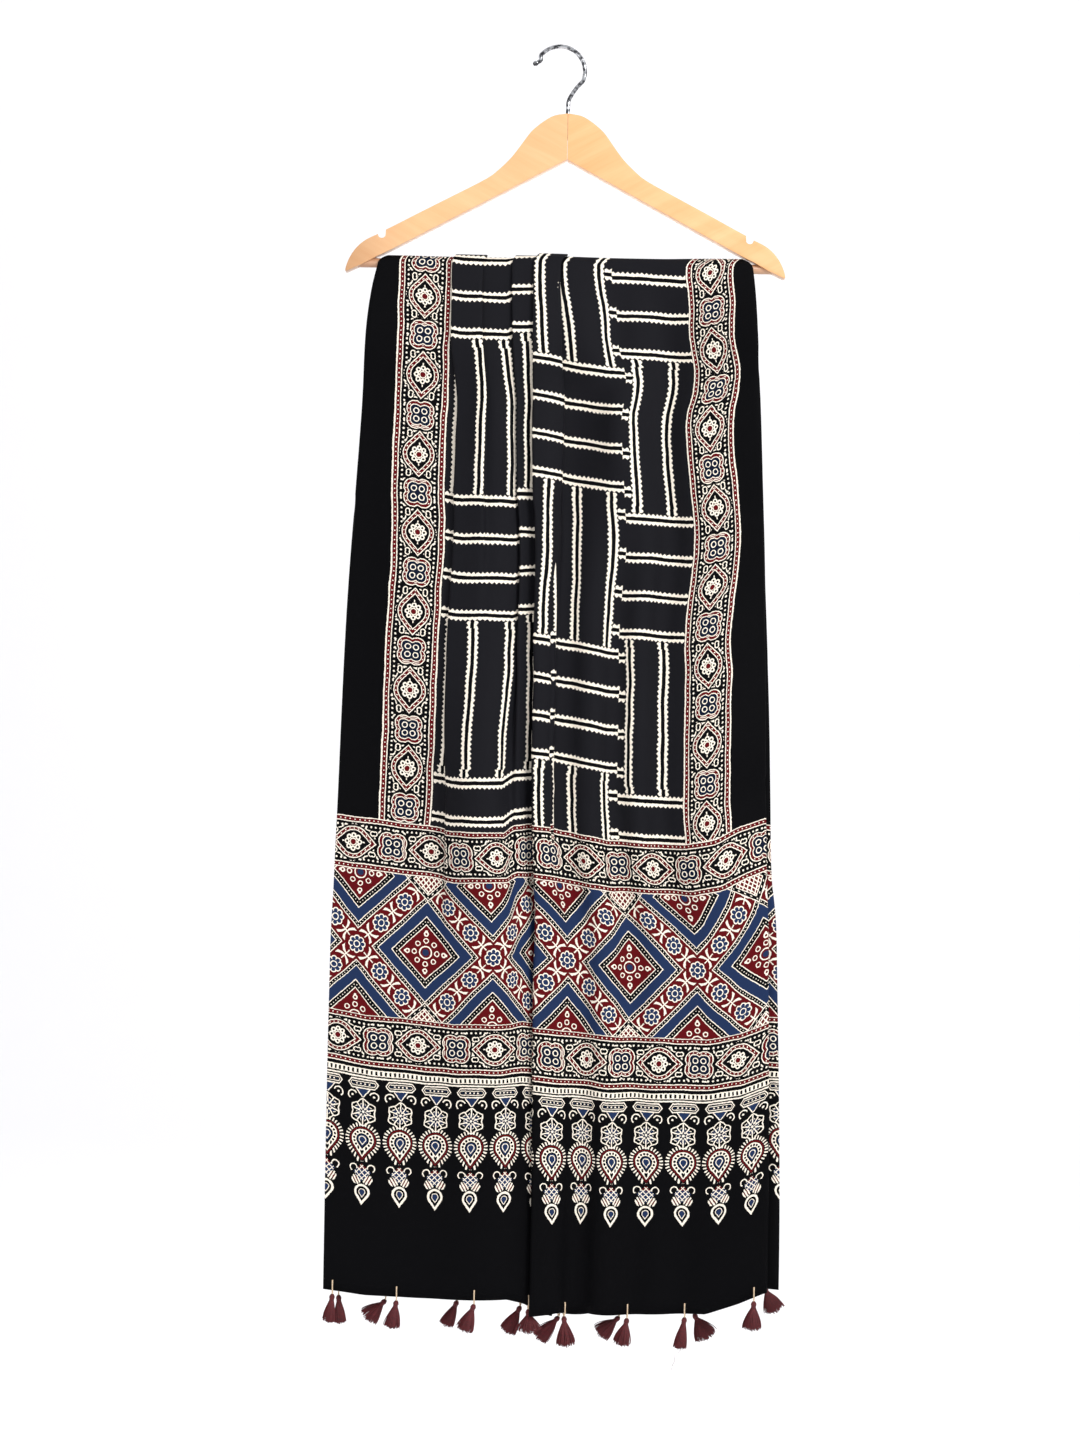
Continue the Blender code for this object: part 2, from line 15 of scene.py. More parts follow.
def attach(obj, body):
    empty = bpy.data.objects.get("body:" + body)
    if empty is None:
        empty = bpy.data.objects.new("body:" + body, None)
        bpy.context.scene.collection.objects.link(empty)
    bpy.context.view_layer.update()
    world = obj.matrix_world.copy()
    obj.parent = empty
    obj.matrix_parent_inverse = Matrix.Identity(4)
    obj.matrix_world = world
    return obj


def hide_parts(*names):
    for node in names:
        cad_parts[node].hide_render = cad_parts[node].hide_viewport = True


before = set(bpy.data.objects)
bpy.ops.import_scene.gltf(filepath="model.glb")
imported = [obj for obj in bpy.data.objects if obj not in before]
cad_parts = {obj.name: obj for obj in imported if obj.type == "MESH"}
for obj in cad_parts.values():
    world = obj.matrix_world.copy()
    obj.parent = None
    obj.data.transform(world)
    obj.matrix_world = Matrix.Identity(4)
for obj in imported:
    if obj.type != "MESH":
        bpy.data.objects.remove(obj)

log = logging.getLogger("stole")

MM = 0.001
CHART_UNIT = 0.953
SHANK_X = 8.3
DOME_Z = -63.1
BAR_DOWN = 144.2
BAR_RADIUS = 4.5
BAR_HALF = 202.0
CLOTH_WIDTH = 566.0
CLOTH_LENGTH = 2022.0
BODY = "hanger"


def linear(red: int, green: int, blue: int) -> tuple[float, float, float, float]:
    """Turns a colour from a screen's 0 to 255 steps into linear light.

    Args:
        red: Red step.
        green: Green step.
        blue: Blue step.

    Returns:
        The colour with an alpha of 1.
    """
    steps = (red / 255, green / 255, blue / 255)
    return (*(s / 12.92 if s <= 0.04045 else ((s + 0.055) / 1.055) ** 2.4 for s in steps), 1.0)


class Face(Enum):
    """The side of the stole that a thing hangs on."""

    FRONT = -1
    BACK = 1


# Numbers that vary over a surface

Number = Union["Signal", float]


class Signal:
    """A number that varies over a surface, worked out by a chain of math nodes."""

    def __init__(self, tree: bpy.types.NodeTree, socket: bpy.types.NodeSocket) -> None:
        """Wraps one socket of a node tree."""
        self.tree = tree
        self.socket = socket

    def op(self, operation: str, *others: Number) -> "Signal":
        """Adds one math node.

        Args:
            operation: The math node's operation.
            others: The node's further inputs.

        Returns:
            The node's result.
        """
        node = self.tree.nodes.new("ShaderNodeMath")
        node.operation = operation
        for slot, value in enumerate((self, *others)):
            if isinstance(value, Signal):
                self.tree.links.new(value.socket, node.inputs[slot])
            else:
                node.inputs[slot].default_value = value
        return Signal(self.tree, node.outputs[0])

    def __add__(self, other: Number) -> "Signal":
        """Adds."""
        return self.op("ADD", other)

    def __radd__(self, other: Number) -> "Signal":
        """Adds from the right."""
        return self.op("ADD", other)

    def __sub__(self, other: Number) -> "Signal":
        """Subtracts."""
        return self.op("SUBTRACT", other)

    def __rsub__(self, other: float) -> "Signal":
        """Subtracts this from a number."""
        return self.op("MULTIPLY_ADD", -1.0, other)

    def __mul__(self, other: Number) -> "Signal":
        """Multiplies; of two masks it keeps what both cover."""
        return self.op("MULTIPLY", other)

    def __rmul__(self, other: float) -> "Signal":
        """Multiplies from the right."""
        return self.op("MULTIPLY", other)

    def __truediv__(self, other: Number) -> "Signal":
        """Divides."""
        return self.op("DIVIDE", other)

    def __or__(self, other: Number) -> "Signal":
        """The greater of two; of two masks it keeps what either covers."""
        return self.op("MAXIMUM", other)

    def __abs__(self) -> "Signal":
        """Drops the sign."""
        return self.op("ABSOLUTE")

    def lesser(self, other: Number) -> "Signal":
        """The lesser of two."""
        return self.op("MINIMUM", other)

    def below(self, limit: Number) -> "Signal":
        """A mask of where this is below a limit."""
        return self.op("LESS_THAN", limit)

    def above(self, limit: Number) -> "Signal":
        """A mask of where this is above a limit."""
        return self.op("GREATER_THAN", limit)

    def between(self, low: float, high: float) -> "Signal":
        """A mask of where this lies between two numbers."""
        return self.op("COMPARE", (low + high) / 2, (high - low) / 2)

    def repeat(self, pitch: float) -> "Signal":
        """The signed distance to the nearest step of a repeat."""
        return self.op("WRAP", pitch / 2, -pitch / 2)

    def near(self, pitch: float) -> "Signal":
        """The distance, without a sign, to the nearest step of a repeat."""
        return self.op("PINGPONG", pitch / 2)

    def reach(self, other: "Signal") -> "Signal":
        """The distance from the middle, of which these are the two legs."""
        return self.op("MULTIPLY_ADD", self, other * other).op("SQRT")

    def opposite(self) -> "Signal":
        """The rest of a mask."""
        return 1.0 - self


@dataclass
class Inks:
    """Where each colour of a printed band falls."""

    cream: Signal
    red: Signal
    blue: Signal

    def within(self, mask: Signal) -> "Inks":
        """Keeps the inks inside a mask."""
        return Inks(self.cream * mask, self.red * mask, self.blue * mask)

    def over(self, other: "Inks") -> "Inks":
        """Lays two bands that don't meet on one cloth."""
        return Inks(self.cream | other.cream, self.red | other.red, self.blue | other.blue)


@dataclass(frozen=True)
class AjrakhFinish:
    """Black cotton, block printed in cream, madder red and indigo.

    Sizes of the print are in chart units, each CHART_UNIT millimetres on the cloth.
    """

    margin: float = 41.0
    border: float = 54.0
    block: float = 140.5
    row_pitch: float = 139.5
    column_slip: float = 4.0
    field_right: float = 447.0
    right_width: float = 48.0
    border_repeat: float = 78.3
    lattice: float = 137.0
    panel_rise: float = 142.8
    panel_low: float = 275.6
    panel_high: float = 418.4
    first_band: float = 444.2
    second_band: float = 250.0
    pendant_pitch: float = 35.5
    pendant_top: float = 211.0
    ground: tuple = linear(4, 4, 6)
    bars: tuple = linear(23, 23, 27)
    cream: tuple = linear(246, 236, 220)
    red: tuple = linear(92, 12, 18)
    blue: tuple = linear(32, 48, 82)

    def stripe(self, across: Signal, along: Signal) -> Inks:
        """The narrow edging of a border: a red line with cream dots between two cream lines.

        Args:
            across: Signed distance from the line's middle.
            along: Distance along the line.

        Returns:
            The stripe's inks.
        """
        dots = across.reach(along.repeat(4.6)).below(0.62)
        cream = across.between(1.9, 3.5) | across.between(-2.9, -1.9) | dots
        return Inks(cream, abs(across).below(1.8), across.below(-90.0))

    def outline(self, edge: Signal, along: Signal) -> Inks:
        """The triple outline of a motif, inwards from its edge, where edge is 0.

        Args:
            edge: Distance outside the motif's edge, negative inside.
            along: Distance along the edge, for the dots.

        Returns:
            The outline's inks.
        """
        red = edge.between(-3.7, -1.1)
        dots = (edge + 2.4).reach(along.repeat(4.2)).below(0.6)
        cream = edge.between(-1.1, -0.1) | edge.between(-4.6, -3.7) | dots
        return Inks(cream, red, red * 0.0)

    def pointed(self, side: Signal, y: Signal, radius: float, length: float) -> Signal:
        """The distance outside a round shape drawn out to a point.

        Args:
            side: Distance from the shape's middle line, without a sign.
            y: Distance from the round part's middle towards the point.
            radius: Radius of the round part.
            length: Distance from the round part's middle to the point.

        Returns:
            The distance, negative inside.
        """
        sine = radius / length
        cosine = math.sqrt(1.0 - sine * sine)
        round_part = side.reach(y)
        flank = side * cosine + y * sine
        sharp = (y - side * (sine / cosine)).above(0.0)
        return round_part + sharp * (flank - round_part) - radius

    def petals(self, radius: Signal, turn: Signal, away: float, share: float = 4.0) -> Signal:
        """The distance from the nearest petal's middle.

        Args:
            radius: Distance from the flower's middle.
            turn: Direction from the flower's middle.
            away: Distance of the petals' middles from it.
            share: Petals in half a turn.

        Returns:
            The distance.
        """
        folded = turn.near(math.pi / share)
        return (radius * folded.op("COSINE") - away).reach(radius * folded.op("SINE"))

    def flower(self, x: Signal, y: Signal, size: float) -> Inks:
        """A round flower of eight pierced petals about a red eye.

        Args:
            x: Distance across from its middle.
            y: Distance up from its middle.
            size: Its radius.

        Returns:
            The flower's inks.
        """
        radius = x.reach(y)
        petal = self.petals(radius, y.op("ARCTAN2", x), size * 0.74)
        cream = petal.between(size * 0.13, size * 0.29) | radius.between(size * 0.31, size * 0.42)
        spike = abs(x).below(0.55) * abs(y).between(size * 1.08, size * 1.34)
        return Inks(cream | spike, radius.below(size * 0.31), radius.below(-1.0))

    def border_band(self, along: Signal, across: Signal, start: float) -> Inks:
        """A border of pointed leaves and quatrefoils between two stripes.

        Args:
            along: Distance along the border.
            across: Signed distance from its middle line.
            start: Where along it the first leaf's middle stands.

        Returns:
            The border's inks.
        """
        side = abs(across)
        edging = self.stripe(side - 23.0, along)
        place = along - start
        leaf = place.near(self.border_repeat)
        four = (place - self.border_repeat / 2).near(self.border_repeat)
        between = (place - self.border_repeat / 4).near(self.border_repeat / 2)
        leaf_edge = self.pointed(side, leaf, 16.0, 23.6)
        leaves = self.outline(leaf_edge, place).over(self.flower(side, leaf, 8.6))
        corner = ((four - 5.4) | 0.0).reach((side - 5.2) | 0.0)
        notch = (1.6 - four.lesser(side) * 0.5) | 0.0
        lobe_edge = corner + notch - 9.0
        quatrefoils = self.outline(lobe_edge, place)
        ring = (four - 4.1).reach(side - 4.0)
        rings = ring.between(2.1, 3.1)
        wells = lobe_edge.below(-4.7) * rings.opposite() * 0.25
        heart = (between - 1.2).reach(side - 10.2)
        hearts = heart.between(1.6, 2.7)
        clear = leaf_edge.above(1.6) * lobe_edge.above(1.6) * heart.above(3.6)
        vine = abs(leaf * 0.34 + side - 17.6) | (side - 17.0)
        vines = vine.below(0.55) | (leaf_edge - 2.9).reach(place.near(9.8) - 1.4).below(0.85)
        vines = vines | (lobe_edge - 2.6).reach(place.near(8.4) - 0.6).below(0.8)
        buds = (side - 16.6).reach(place.near(9.3) - 2.3).below(1.0)
        cream = quatrefoils.cream | rings | (hearts * leaf_edge.above(0.6) * lobe_edge.above(0.6))
        cream = cream | (vines | buds) * clear
        outside = leaf_edge.above(0.0)
        motifs = Inks(leaves.cream * leaf_edge.below(0.0) | cream * outside,
                      leaves.red * leaf_edge.below(0.0) | quatrefoils.red * outside, wells * outside)
        return motifs.within(side.below(18.6)).over(edging)

    def field_lines(self, across: Signal, along: Signal) -> tuple[Signal, Signal]:
        """Pairs of cream lines with toothed outer edges, two pairs on each side of the middle.

        Args:
            across: Signed distance from the block's middle, square to the lines.
            along: Distance along the lines.

        Returns:
            The cream lines and the black gaps inside the pairs.
        """
        pair = abs(across).near(38.0).op("MULTIPLY_ADD", -1.0, 19.0)
        tooth = along.near(4.8) * 0.8
        cream = pair.above(1.9) * pair.below(tooth + 4.0)
        return cream, pair.below(1.9)

    def field_blocks(self, x: Signal, y: Signal, tree: bpy.types.NodeTree) -> tuple[Signal, Signal]:
        """The chequered ground of upright and level blocks.

        Args:
            x: Distance across from the first column's middle.
            y: Distance up from the first row's middle.
            tree: Node tree for the shift of each block.

        Returns:
            The cream lines, and the charcoal bars between them.
        """
        column = (x / self.block).op("ROUND")
        y = y + column * self.column_slip
        row = (y / self.row_pitch).op("ROUND")
        shift = tree.nodes.new("ShaderNodeTexWhiteNoise")
        shift.noise_dimensions = "2D"
        join = tree.nodes.new("ShaderNodeCombineXYZ")
        tree.links.new(column.socket, join.inputs[0])
        tree.links.new(row.socket, join.inputs[1])
        tree.links.new(join.outputs[0], shift.inputs["Vector"])
        parts = tree.nodes.new("ShaderNodeSeparateColor")
        tree.links.new(shift.outputs["Color"], parts.inputs[0])
        slip_x = (Signal(tree, parts.outputs[0]) - 0.5) * 3.0
        slip_y = (Signal(tree, parts.outputs[1]) - 0.5) * 3.0
        in_x = x - column * self.block + slip_x
        in_y = y - row * self.row_pitch + slip_y
        level_cell = (column + row + 1.0).near(2.0)
        upright_cell = level_cell.opposite()
        within_cell = abs(in_x).below(63.0) | x.below(-60.0)
        upright = upright_cell * within_cell | level_cell * abs(in_y).above(63.0)
        lines_up, gap_up = self.field_lines(in_x, in_y)
        lines_flat, gap_flat = self.field_lines(in_y, in_x)
        level = upright.opposite()
        cream = lines_up * upright | lines_flat * level
        gaps = gap_up * upright | gap_flat * level
        return cream, gaps.opposite()

    def diamond_panel(self, x: Signal, y: Signal) -> Inks:
        """Nested diamonds on a red trellis with flowers.

        Args:
            x: Distance across from a full diamond's middle.
            y: Distance up from the panel's middle.

        Returns:
            The panel's inks.
        """
        rise = x / self.lattice + y / self.panel_rise
        fall = x / self.lattice - y / self.panel_rise
        p = rise.near(1.0) * self.lattice
        q = fall.near(1.0) * self.lattice
        step = p | q
        along = p.lesser(q)
        cream = step.between(52.7, 54.0) | step.between(47.3, 48.4) | step.between(33.6, 34.8)
        cream = cream | step.between(26.0, 27.2)
        bead = along.repeat(4.6)
        dots = (step - 50.6).reach(bead).below(0.72) | (step - 30.4).reach(bead).below(0.72)
        even_x, even_y = x.near(self.lattice), y.near(self.panel_rise)
        odd_x = (x - self.lattice / 2).near(self.lattice)
        odd_y = (y - self.panel_rise / 2).near(self.panel_rise)
        hearts = self.rosette(even_x.reach(even_y), even_y.op("ARCTAN2", even_x))
        hearts = hearts.over(self.rosette(odd_x.reach(odd_y), odd_y.op("ARCTAN2", odd_x)))
        band = step.above(54.0)
        blue = step.between(34.8, 47.3)
        blooms = self.trellis_flowers(p, fall).over(self.trellis_flowers(q, rise)).within(band)
        core = step.below(26.0)
        hearts = hearts.within(core)
        red = core * hearts.blue.opposite() | band * blooms.blue.opposite()
        lattice = Inks(cream | dots | hearts.cream | blooms.cream, red, blue | blooms.blue | hearts.blue)

        square = even_x + odd_y
        edge = square.between(20.2, 21.4) | square.between(14.6, 15.7)
        beads = (square - 17.9).reach(even_x.near(4.6)).below(0.7)
        leaves = abs(even_x.near(5.4) - odd_y.near(6.2) * 0.8).below(0.75) * square.below(14.6)
        small = Inks(edge | beads | leaves, square.below(14.6), square.below(-1.0))
        inside = square.below(21.4)
        return lattice.within(inside.opposite()).over(small.within(inside))

    def rosette(self, radius: Signal, turn: Signal) -> Inks:
        """The flower in a diamond's heart: an indigo eye, outlined petals and four sprigs.

        Args:
            radius: Distance from its middle.
            turn: Direction from its middle.

        Returns:
            The rosette's inks.
        """
        petal = self.petals(radius, turn, 11.2)
        sprig = self.petals(radius, turn, 18.2, 2.0)
        tip = self.petals(radius, turn, 20.6, 2.0)
        cream = petal.between(1.7, 2.7) | radius.between(5.0, 6.2) | sprig.between(1.2, 2.5) | tip.below(1.3)
        return Inks(cream, radius.below(-1.0), radius.below(3.2))

    def trellis_flowers(self, across: Signal, along: Signal) -> Inks:
        """Indigo flowers and forked leaves along one band of the trellis.

        Args:
            across: Distance of the band's lattice step, half a step at the band's middle line.
            along: The other lattice coordinate, in steps.

        Returns:
            The flowers' inks.
        """
        off = (across - self.lattice / 2) * 0.714
        run = (along - 0.5).near(1 / 3) * 98.0
        radius = off.reach(run)
        lobe = self.petals(radius, run.op("ARCTAN2", off), 5.7)
        shape = lobe.lesser(radius - 2.9)
        cream = shape.between(1.9, 3.0) | radius.between(2.4, 3.4)
        leaf = along.near(1 / 3) * 98.0
        side = abs(off)
        fork = abs(leaf - 1.3 - off * off * 0.062) - side * 0.17
        leaves = fork.below(0.45) * side.below(7.9) | side.below(0.55) * leaf.below(6.0)
        return Inks(cream | leaves * shape.above(3.6), radius.below(-1.0), shape.below(1.9))

    def pendants(self, x: Signal, y: Signal) -> Inks:
        """The row of pendant motifs that hang below the railing.

        Args:
            x: Signed distance from the nearest pendant's middle line.
            y: Distance down from the pendants' top.

        Returns:
            The pendants' inks.
        """
        side = abs(x)
        bar_y = abs(y - 5.2)
        bar = bar_y | (side + bar_y * 0.75 - 10.2)
        cream = bar.between(3.6, 4.8) | bar.between(1.6, 2.3)
        cream = cream | (x - 2.0).repeat(4.0).reach(bar_y).below(0.8) * side.below(9.0)
        blue = bar.below(0.4) * 0.5
        scroll_y = y - 17.0
        scroll = (side - 10.6).reach(scroll_y)
        open_part = (scroll_y - (side - 10.6) * 0.8).below(1.6) | scroll.below(2.4)
        cream = cream | scroll.between(3.7, 4.9) * open_part | scroll.between(0.0, 1.1)
        wedge = side + (y - 10.4) * 0.75
        wedge_in = y.between(10.2, 18.5)
        cream = cream | wedge.between(5.8, 7.0) * wedge_in
        blue = blue | wedge.below(5.8) * wedge_in
        star_y = y - 33.0
        star_r = x.reach(star_y)
        star_turn = x.op("ARCTAN2", star_y)
        star = star_r + 5.2 * star_turn.near(math.pi / 3).op("SINE")
        ribs = star_turn.near(math.pi / 5) * star_r
        cream = cream | star.between(12.4, 13.6) | star.between(8.6, 9.5) * ribs.above(1.6)
        cream = cream | star.between(4.4, 5.4) | star_r.below(1.3) | ribs.below(0.6) * star.between(5.4, 12.2)
        blue = blue | star.between(5.4, 8.6) * 0.7 | star.below(4.4) * 0.4
        drop_y = y - 59.5
        drop = self.pointed(side, drop_y, 12.2, 20.4)
        turn = x.op("ARCTAN2", drop_y)
        hair = drop.between(1.0, 4.6) * (turn.near(0.21) * (drop + 13.4)).below(0.75)
        hair = hair * y.below(81.0)
        beads = (drop + 4.1).reach(turn.near(0.42) * 8.4).below(1.25)
        cream = cream | hair | drop.between(-6.1, -1.8) * beads.opposite()
        cream = cream | drop.between(-9.4, -8.6)
        red = drop.between(-1.2, 0.2)
        blue = blue | drop.below(-7.4)
        net_y = y - 91.5
        net = side + abs(net_y)
        net_in = net.below(8.6)
        mesh = (side + net_y).near(5.7).below(0.6) | (side - net_y).near(5.7).below(0.6)
        horn = (side - 8.6).reach(y - 87.4)
        fringe = (side - 5.6).reach(y - 98.6)
        spikes = fringe.below(4.8) * (side * 0.9 + y * 0.5).near(2.9).below(0.8)
        spikes = spikes * net.above(8.8) * y.below(104.0)
        cream = cream | mesh * net_in | horn.between(2.9, 4.0) * (y - side * 0.5).below(85.4) | spikes
        red = red | net_in * net_y.below(-3.4) | fringe.below(3.2) * net.above(8.8)
        blue = blue | net_in * net_y.above(-3.4)
        egg = self.pointed(side, y - 110.6, 7.6, 13.2)
        cream = cream | egg.between(-2.1, 0.0) | egg.between(-4.9, -4.2)
        blue = blue | egg.below(-5.0)
        return Inks(cream, red, blue).within(y.between(-0.2, 124.5))

    def railing(self, x: Signal, y: Signal) -> Signal:
        """A cream rail with black ticks, and the thin line below it.

        Args:
            x: Distance across the cloth.
            y: Distance up from the hem.

        Returns:
            The cream of the rail and of the line.
        """
        ticks = x.near(4.4).below(1.0) * y.between(215.6, 219.6)
        return y.between(214.9, 220.6) * ticks.opposite() | y.between(211.9, 213.4)

    def wander(self, tree: bpy.types.NodeTree, vector: bpy.types.NodeSocket, scale: float,
               amount: float) -> tuple[Signal, Signal]:
        """The small slips of a hand-printed line.

        Args:
            tree: Node tree to add to.
            vector: Place on the cloth.
            scale: Scale of the noise.
            amount: Greatest slip, in chart units.

        Returns:
            The slip across and along the cloth.
        """
        noise = tree.nodes.new("ShaderNodeTexNoise")
        noise.noise_dimensions = "2D"
        noise.inputs["Scale"].default_value = scale
        noise.inputs["Detail"].default_value = 1.0
        tree.links.new(vector, noise.inputs["Vector"])
        parts = tree.nodes.new("ShaderNodeSeparateColor")
        tree.links.new(noise.outputs["Color"], parts.inputs[0])
        return ((Signal(tree, parts.outputs[0]) - 0.5) * (2 * amount),
                (Signal(tree, parts.outputs[1]) - 0.5) * (2 * amount))

    def mix(self, tree: bpy.types.NodeTree, low: Union[tuple, bpy.types.NodeSocket], high: tuple,
            mask: Signal) -> bpy.types.NodeSocket:
        """Lays one ink over what is below it.

        Args:
            tree: Node tree to add to.
            low: Colour below.
            high: The ink's colour.
            mask: Where the ink is.

        Returns:
            The mixed colour.
        """
        node = tree.nodes.new("ShaderNodeMix")
        node.data_type = "RGBA"
        tree.links.new(mask.socket, node.inputs[0])
        if isinstance(low, tuple):
            node.inputs[6].default_value = low
        else:
            tree.links.new(low, node.inputs[6])
        node.inputs[7].default_value = high
        return node.outputs[2]

    def build(self) -> bpy.types.Material:
        """Makes the printed cotton."""
        mat = bpy.data.materials.new("printed_ajrakh_cotton")
        mat.use_nodes = True
        tree = mat.node_tree
        shader = tree.nodes["Principled BSDF"]
        hem_map = tree.nodes.new("ShaderNodeUVMap")
        hem_map.uv_map = "from_hem"
        length_map = tree.nodes.new("ShaderNodeUVMap")
        length_map.uv_map = "along_cloth"
        hem_axes = tree.nodes.new("ShaderNodeSeparateXYZ")
        tree.links.new(hem_map.outputs[0], hem_axes.inputs[0])
        length_axes = tree.nodes.new("ShaderNodeSeparateXYZ")
        tree.links.new(length_map.outputs[0], length_axes.inputs[0])
        slow_x, slow_y = self.wander(tree, length_map.outputs[0], 28.0, 1.3)
        quick_x, quick_y = self.wander(tree, length_map.outputs[0], 420.0, 0.42)
        slip_x = slow_x + quick_x
        slip_y = slow_y + quick_y
        units = 1.0 / (CHART_UNIT * MM)
        u = Signal(tree, hem_axes.outputs[0]) * units + slip_x
        t = Signal(tree, hem_axes.outputs[1]) * units + slip_y
        v = Signal(tree, length_axes.outputs[1]) * units + slip_y

        over_panels = t.above(470.1)
        in_field = u.between(self.margin + self.border, self.field_right) * over_panels
        lines, bars = self.field_blocks(u - 162.5, v - 462.1, tree)
        left = self.border_band(v, u - (self.margin + self.border / 2), 54.5)
        squeeze = self.border / self.right_width
        right = self.border_band(v, (u - (self.field_right + self.right_width / 2)) * squeeze, 17.0)
        left = left.within(u.between(self.margin, self.margin + self.border) * over_panels)
        right = right.within(u.between(self.field_right, self.field_right + self.right_width) * over_panels)
        first = self.border_band(u, t - self.first_band, 18.0).within(t.between(418.4, 470.1))
        second = self.border_band(u, t - self.second_band, 10.0).within(t.between(224.0, 275.6))
        middle = (self.panel_low + self.panel_high) / 2
        panel = self.diamond_panel(u - 95.0, t - middle + 2.8)
        panel = panel.within(t.between(self.panel_low, self.panel_high))
        hanging = self.pendants((u - 1.0).repeat(self.pendant_pitch), self.pendant_top - t)
        rail = self.railing(u, t)
        inks = left.over(right).over(first).over(second).over(panel).over(hanging)
        cream = inks.cream | lines * in_field | rail

        grain = tree.nodes.new("ShaderNodeTexNoise")
        grain.noise_dimensions = "2D"
        grain.inputs["Scale"].default_value = 900.0
        grain.inputs["Detail"].default_value = 2.0
        tree.links.new(length_map.outputs[0], grain.inputs["Vector"])
        speckle = Signal(tree, grain.outputs["Fac"])
        worn = (speckle - 0.36).op("MULTIPLY", 9.0)
        worn.socket.node.use_clamp = True

        colour = self.mix(tree, self.ground, self.bars, bars * in_field)
        colour = self.mix(tree, colour, self.blue, inks.blue * 0.96)
        colour = self.mix(tree, colour, self.red, inks.red * 0.96)
        colour = self.mix(tree, colour, self.cream, cream * (worn * 0.16 + 0.84))
        tree.links.new(colour, shader.inputs["Base Color"])

        shader.inputs["Roughness"].default_value = 0.6
        shader.inputs["Specular IOR Level"].default_value = 0.05
        threads = tree.nodes.new("ShaderNodeTexWave")
        threads.inputs["Scale"].default_value = 700.0
        threads.inputs["Distortion"].default_value = 1.0
        tree.links.new(length_map.outputs[0], threads.inputs["Vector"])
        picks = tree.nodes.new("ShaderNodeTexWave")
        picks.bands_direction = "Y"
        picks.inputs["Scale"].default_value = 640.0
        picks.inputs["Distortion"].default_value = 1.0
        tree.links.new(length_map.outputs[0], picks.inputs["Vector"])
        weave = Signal(tree, threads.outputs["Fac"]) + Signal(tree, picks.outputs["Fac"])
        slubs = weave * 0.5 + speckle * 0.8
        bump = tree.nodes.new("ShaderNodeBump")
        bump.inputs["Strength"].default_value = 0.35
        bump.inputs["Distance"].default_value = 0.0003
        tree.links.new(slubs.socket, bump.inputs["Height"])
        tree.links.new(bump.outputs[0], shader.inputs["Normal"])
        return mat


@dataclass(frozen=True)
class WoodFinish:
    """Pale lacquered wood whose grain runs along one direction of the front, with shade that can be painted into
    its colour towards the arm's tip.
    """

    name: str
    light: tuple
    dark: tuple
    slope: float = 0.0
    roughness: float = 0.36
    # Strength of the painted shade that darkens the wood's colour towards the arm's tip.
    painted_tip_shade: float = 0.0

    def build(self) -> bpy.types.Material:
        """Makes the wood."""
        mat = bpy.data.materials.new(self.name)
        mat.use_nodes = True
        tree = mat.node_tree
        shader = tree.nodes["Principled BSDF"]
        coords = tree.nodes.new("ShaderNodeTexCoord")
        turned = tree.nodes.new("ShaderNodeMapping")
        turned.inputs["Rotation"].default_value = (0.0, math.radians(self.slope), 0.0)
        tree.links.new(coords.outputs["Object"], turned.inputs["Vector"])
        streaks = self.grain(tree, turned.outputs[0], (9.0, 160.0, 160.0), 2.2, 0.55)
        rings = self.grain(tree, turned.outputs[0], (2.2, 34.0, 34.0), 2.6, 1.2)
        pores = self.grain(tree, turned.outputs[0], (55.0, 1500.0, 1500.0), 3.0, 0.0)
        blend = streaks * 0.45 + rings * 0.75 + pores * 0.18 - 0.18
        ramp = tree.nodes.new("ShaderNodeValToRGB")
        ramp.color_ramp.elements[0].position = 0.25
        ramp.color_ramp.elements[0].color = self.dark
        ramp.color_ramp.elements[1].position = 0.78
        ramp.color_ramp.elements[1].color = self.light
        tree.links.new(blend.socket, ramp.inputs[0])
        axes = tree.nodes.new("ShaderNodeSeparateXYZ")
        tree.links.new(coords.outputs["Object"], axes.inputs[0])
        # Painted shade: towards the arm's tip the colour is mixed into a dark brown, as strongly as the tip shade
        # setting asks.
        towards_tip = (abs(Signal(tree, axes.outputs[0])) - 0.135) * 14.0
        towards_tip.socket.node.use_clamp = True
        painted_shade_mix = tree.nodes.new("ShaderNodeMix")
        painted_shade_mix.data_type = "RGBA"
        tree.links.new((towards_tip * self.painted_tip_shade).socket, painted_shade_mix.inputs[0])
        tree.links.new(ramp.outputs[0], painted_shade_mix.inputs[6])
        painted_shade_mix.inputs[7].default_value = linear(120, 78, 50)
        tree.links.new(painted_shade_mix.outputs[2], shader.inputs["Base Color"])
        shade = pores * 0.12 + (self.roughness - 0.06)
        tree.links.new(shade.socket, shader.inputs["Roughness"])
        shader.inputs["Coat Weight"].default_value = 0.25
        shader.inputs["Coat Roughness"].default_value = 0.22
        bump = tree.nodes.new("ShaderNodeBump")
        bump.inputs["Strength"].default_value = 0.12
        bump.inputs["Distance"].default_value = 0.0002
        tree.links.new((pores + streaks).socket, bump.inputs["Height"])
        tree.links.new(bump.outputs[0], shader.inputs["Normal"])
        return mat

    def grain(self, tree: bpy.types.NodeTree, vector: bpy.types.NodeSocket,
              scale: tuple[float, float, float], detail: float, warp: float) -> Signal:
        """One layer of grain.

        Args:
            tree: Node tree to add to.
            vector: Place in the wood, turned along the grain.
            scale: Scale of the noise along each axis.
            detail: Octaves of the noise.
            warp: How far it wanders.

        Returns:
            The layer's value.
        """
        stretch = tree.nodes.new("ShaderNodeMapping")
        stretch.inputs["Scale"].default_value = scale
        tree.links.new(vector, stretch.inputs["Vector"])
        noise = tree.nodes.new("ShaderNodeTexNoise")
        noise.inputs["Scale"].default_value = 1.0
        noise.inputs["Detail"].default_value = detail
        noise.inputs["Distortion"].default_value = warp
        tree.links.new(stretch.outputs[0], noise.inputs["Vector"])
        return Signal(tree, noise.outputs["Fac"])


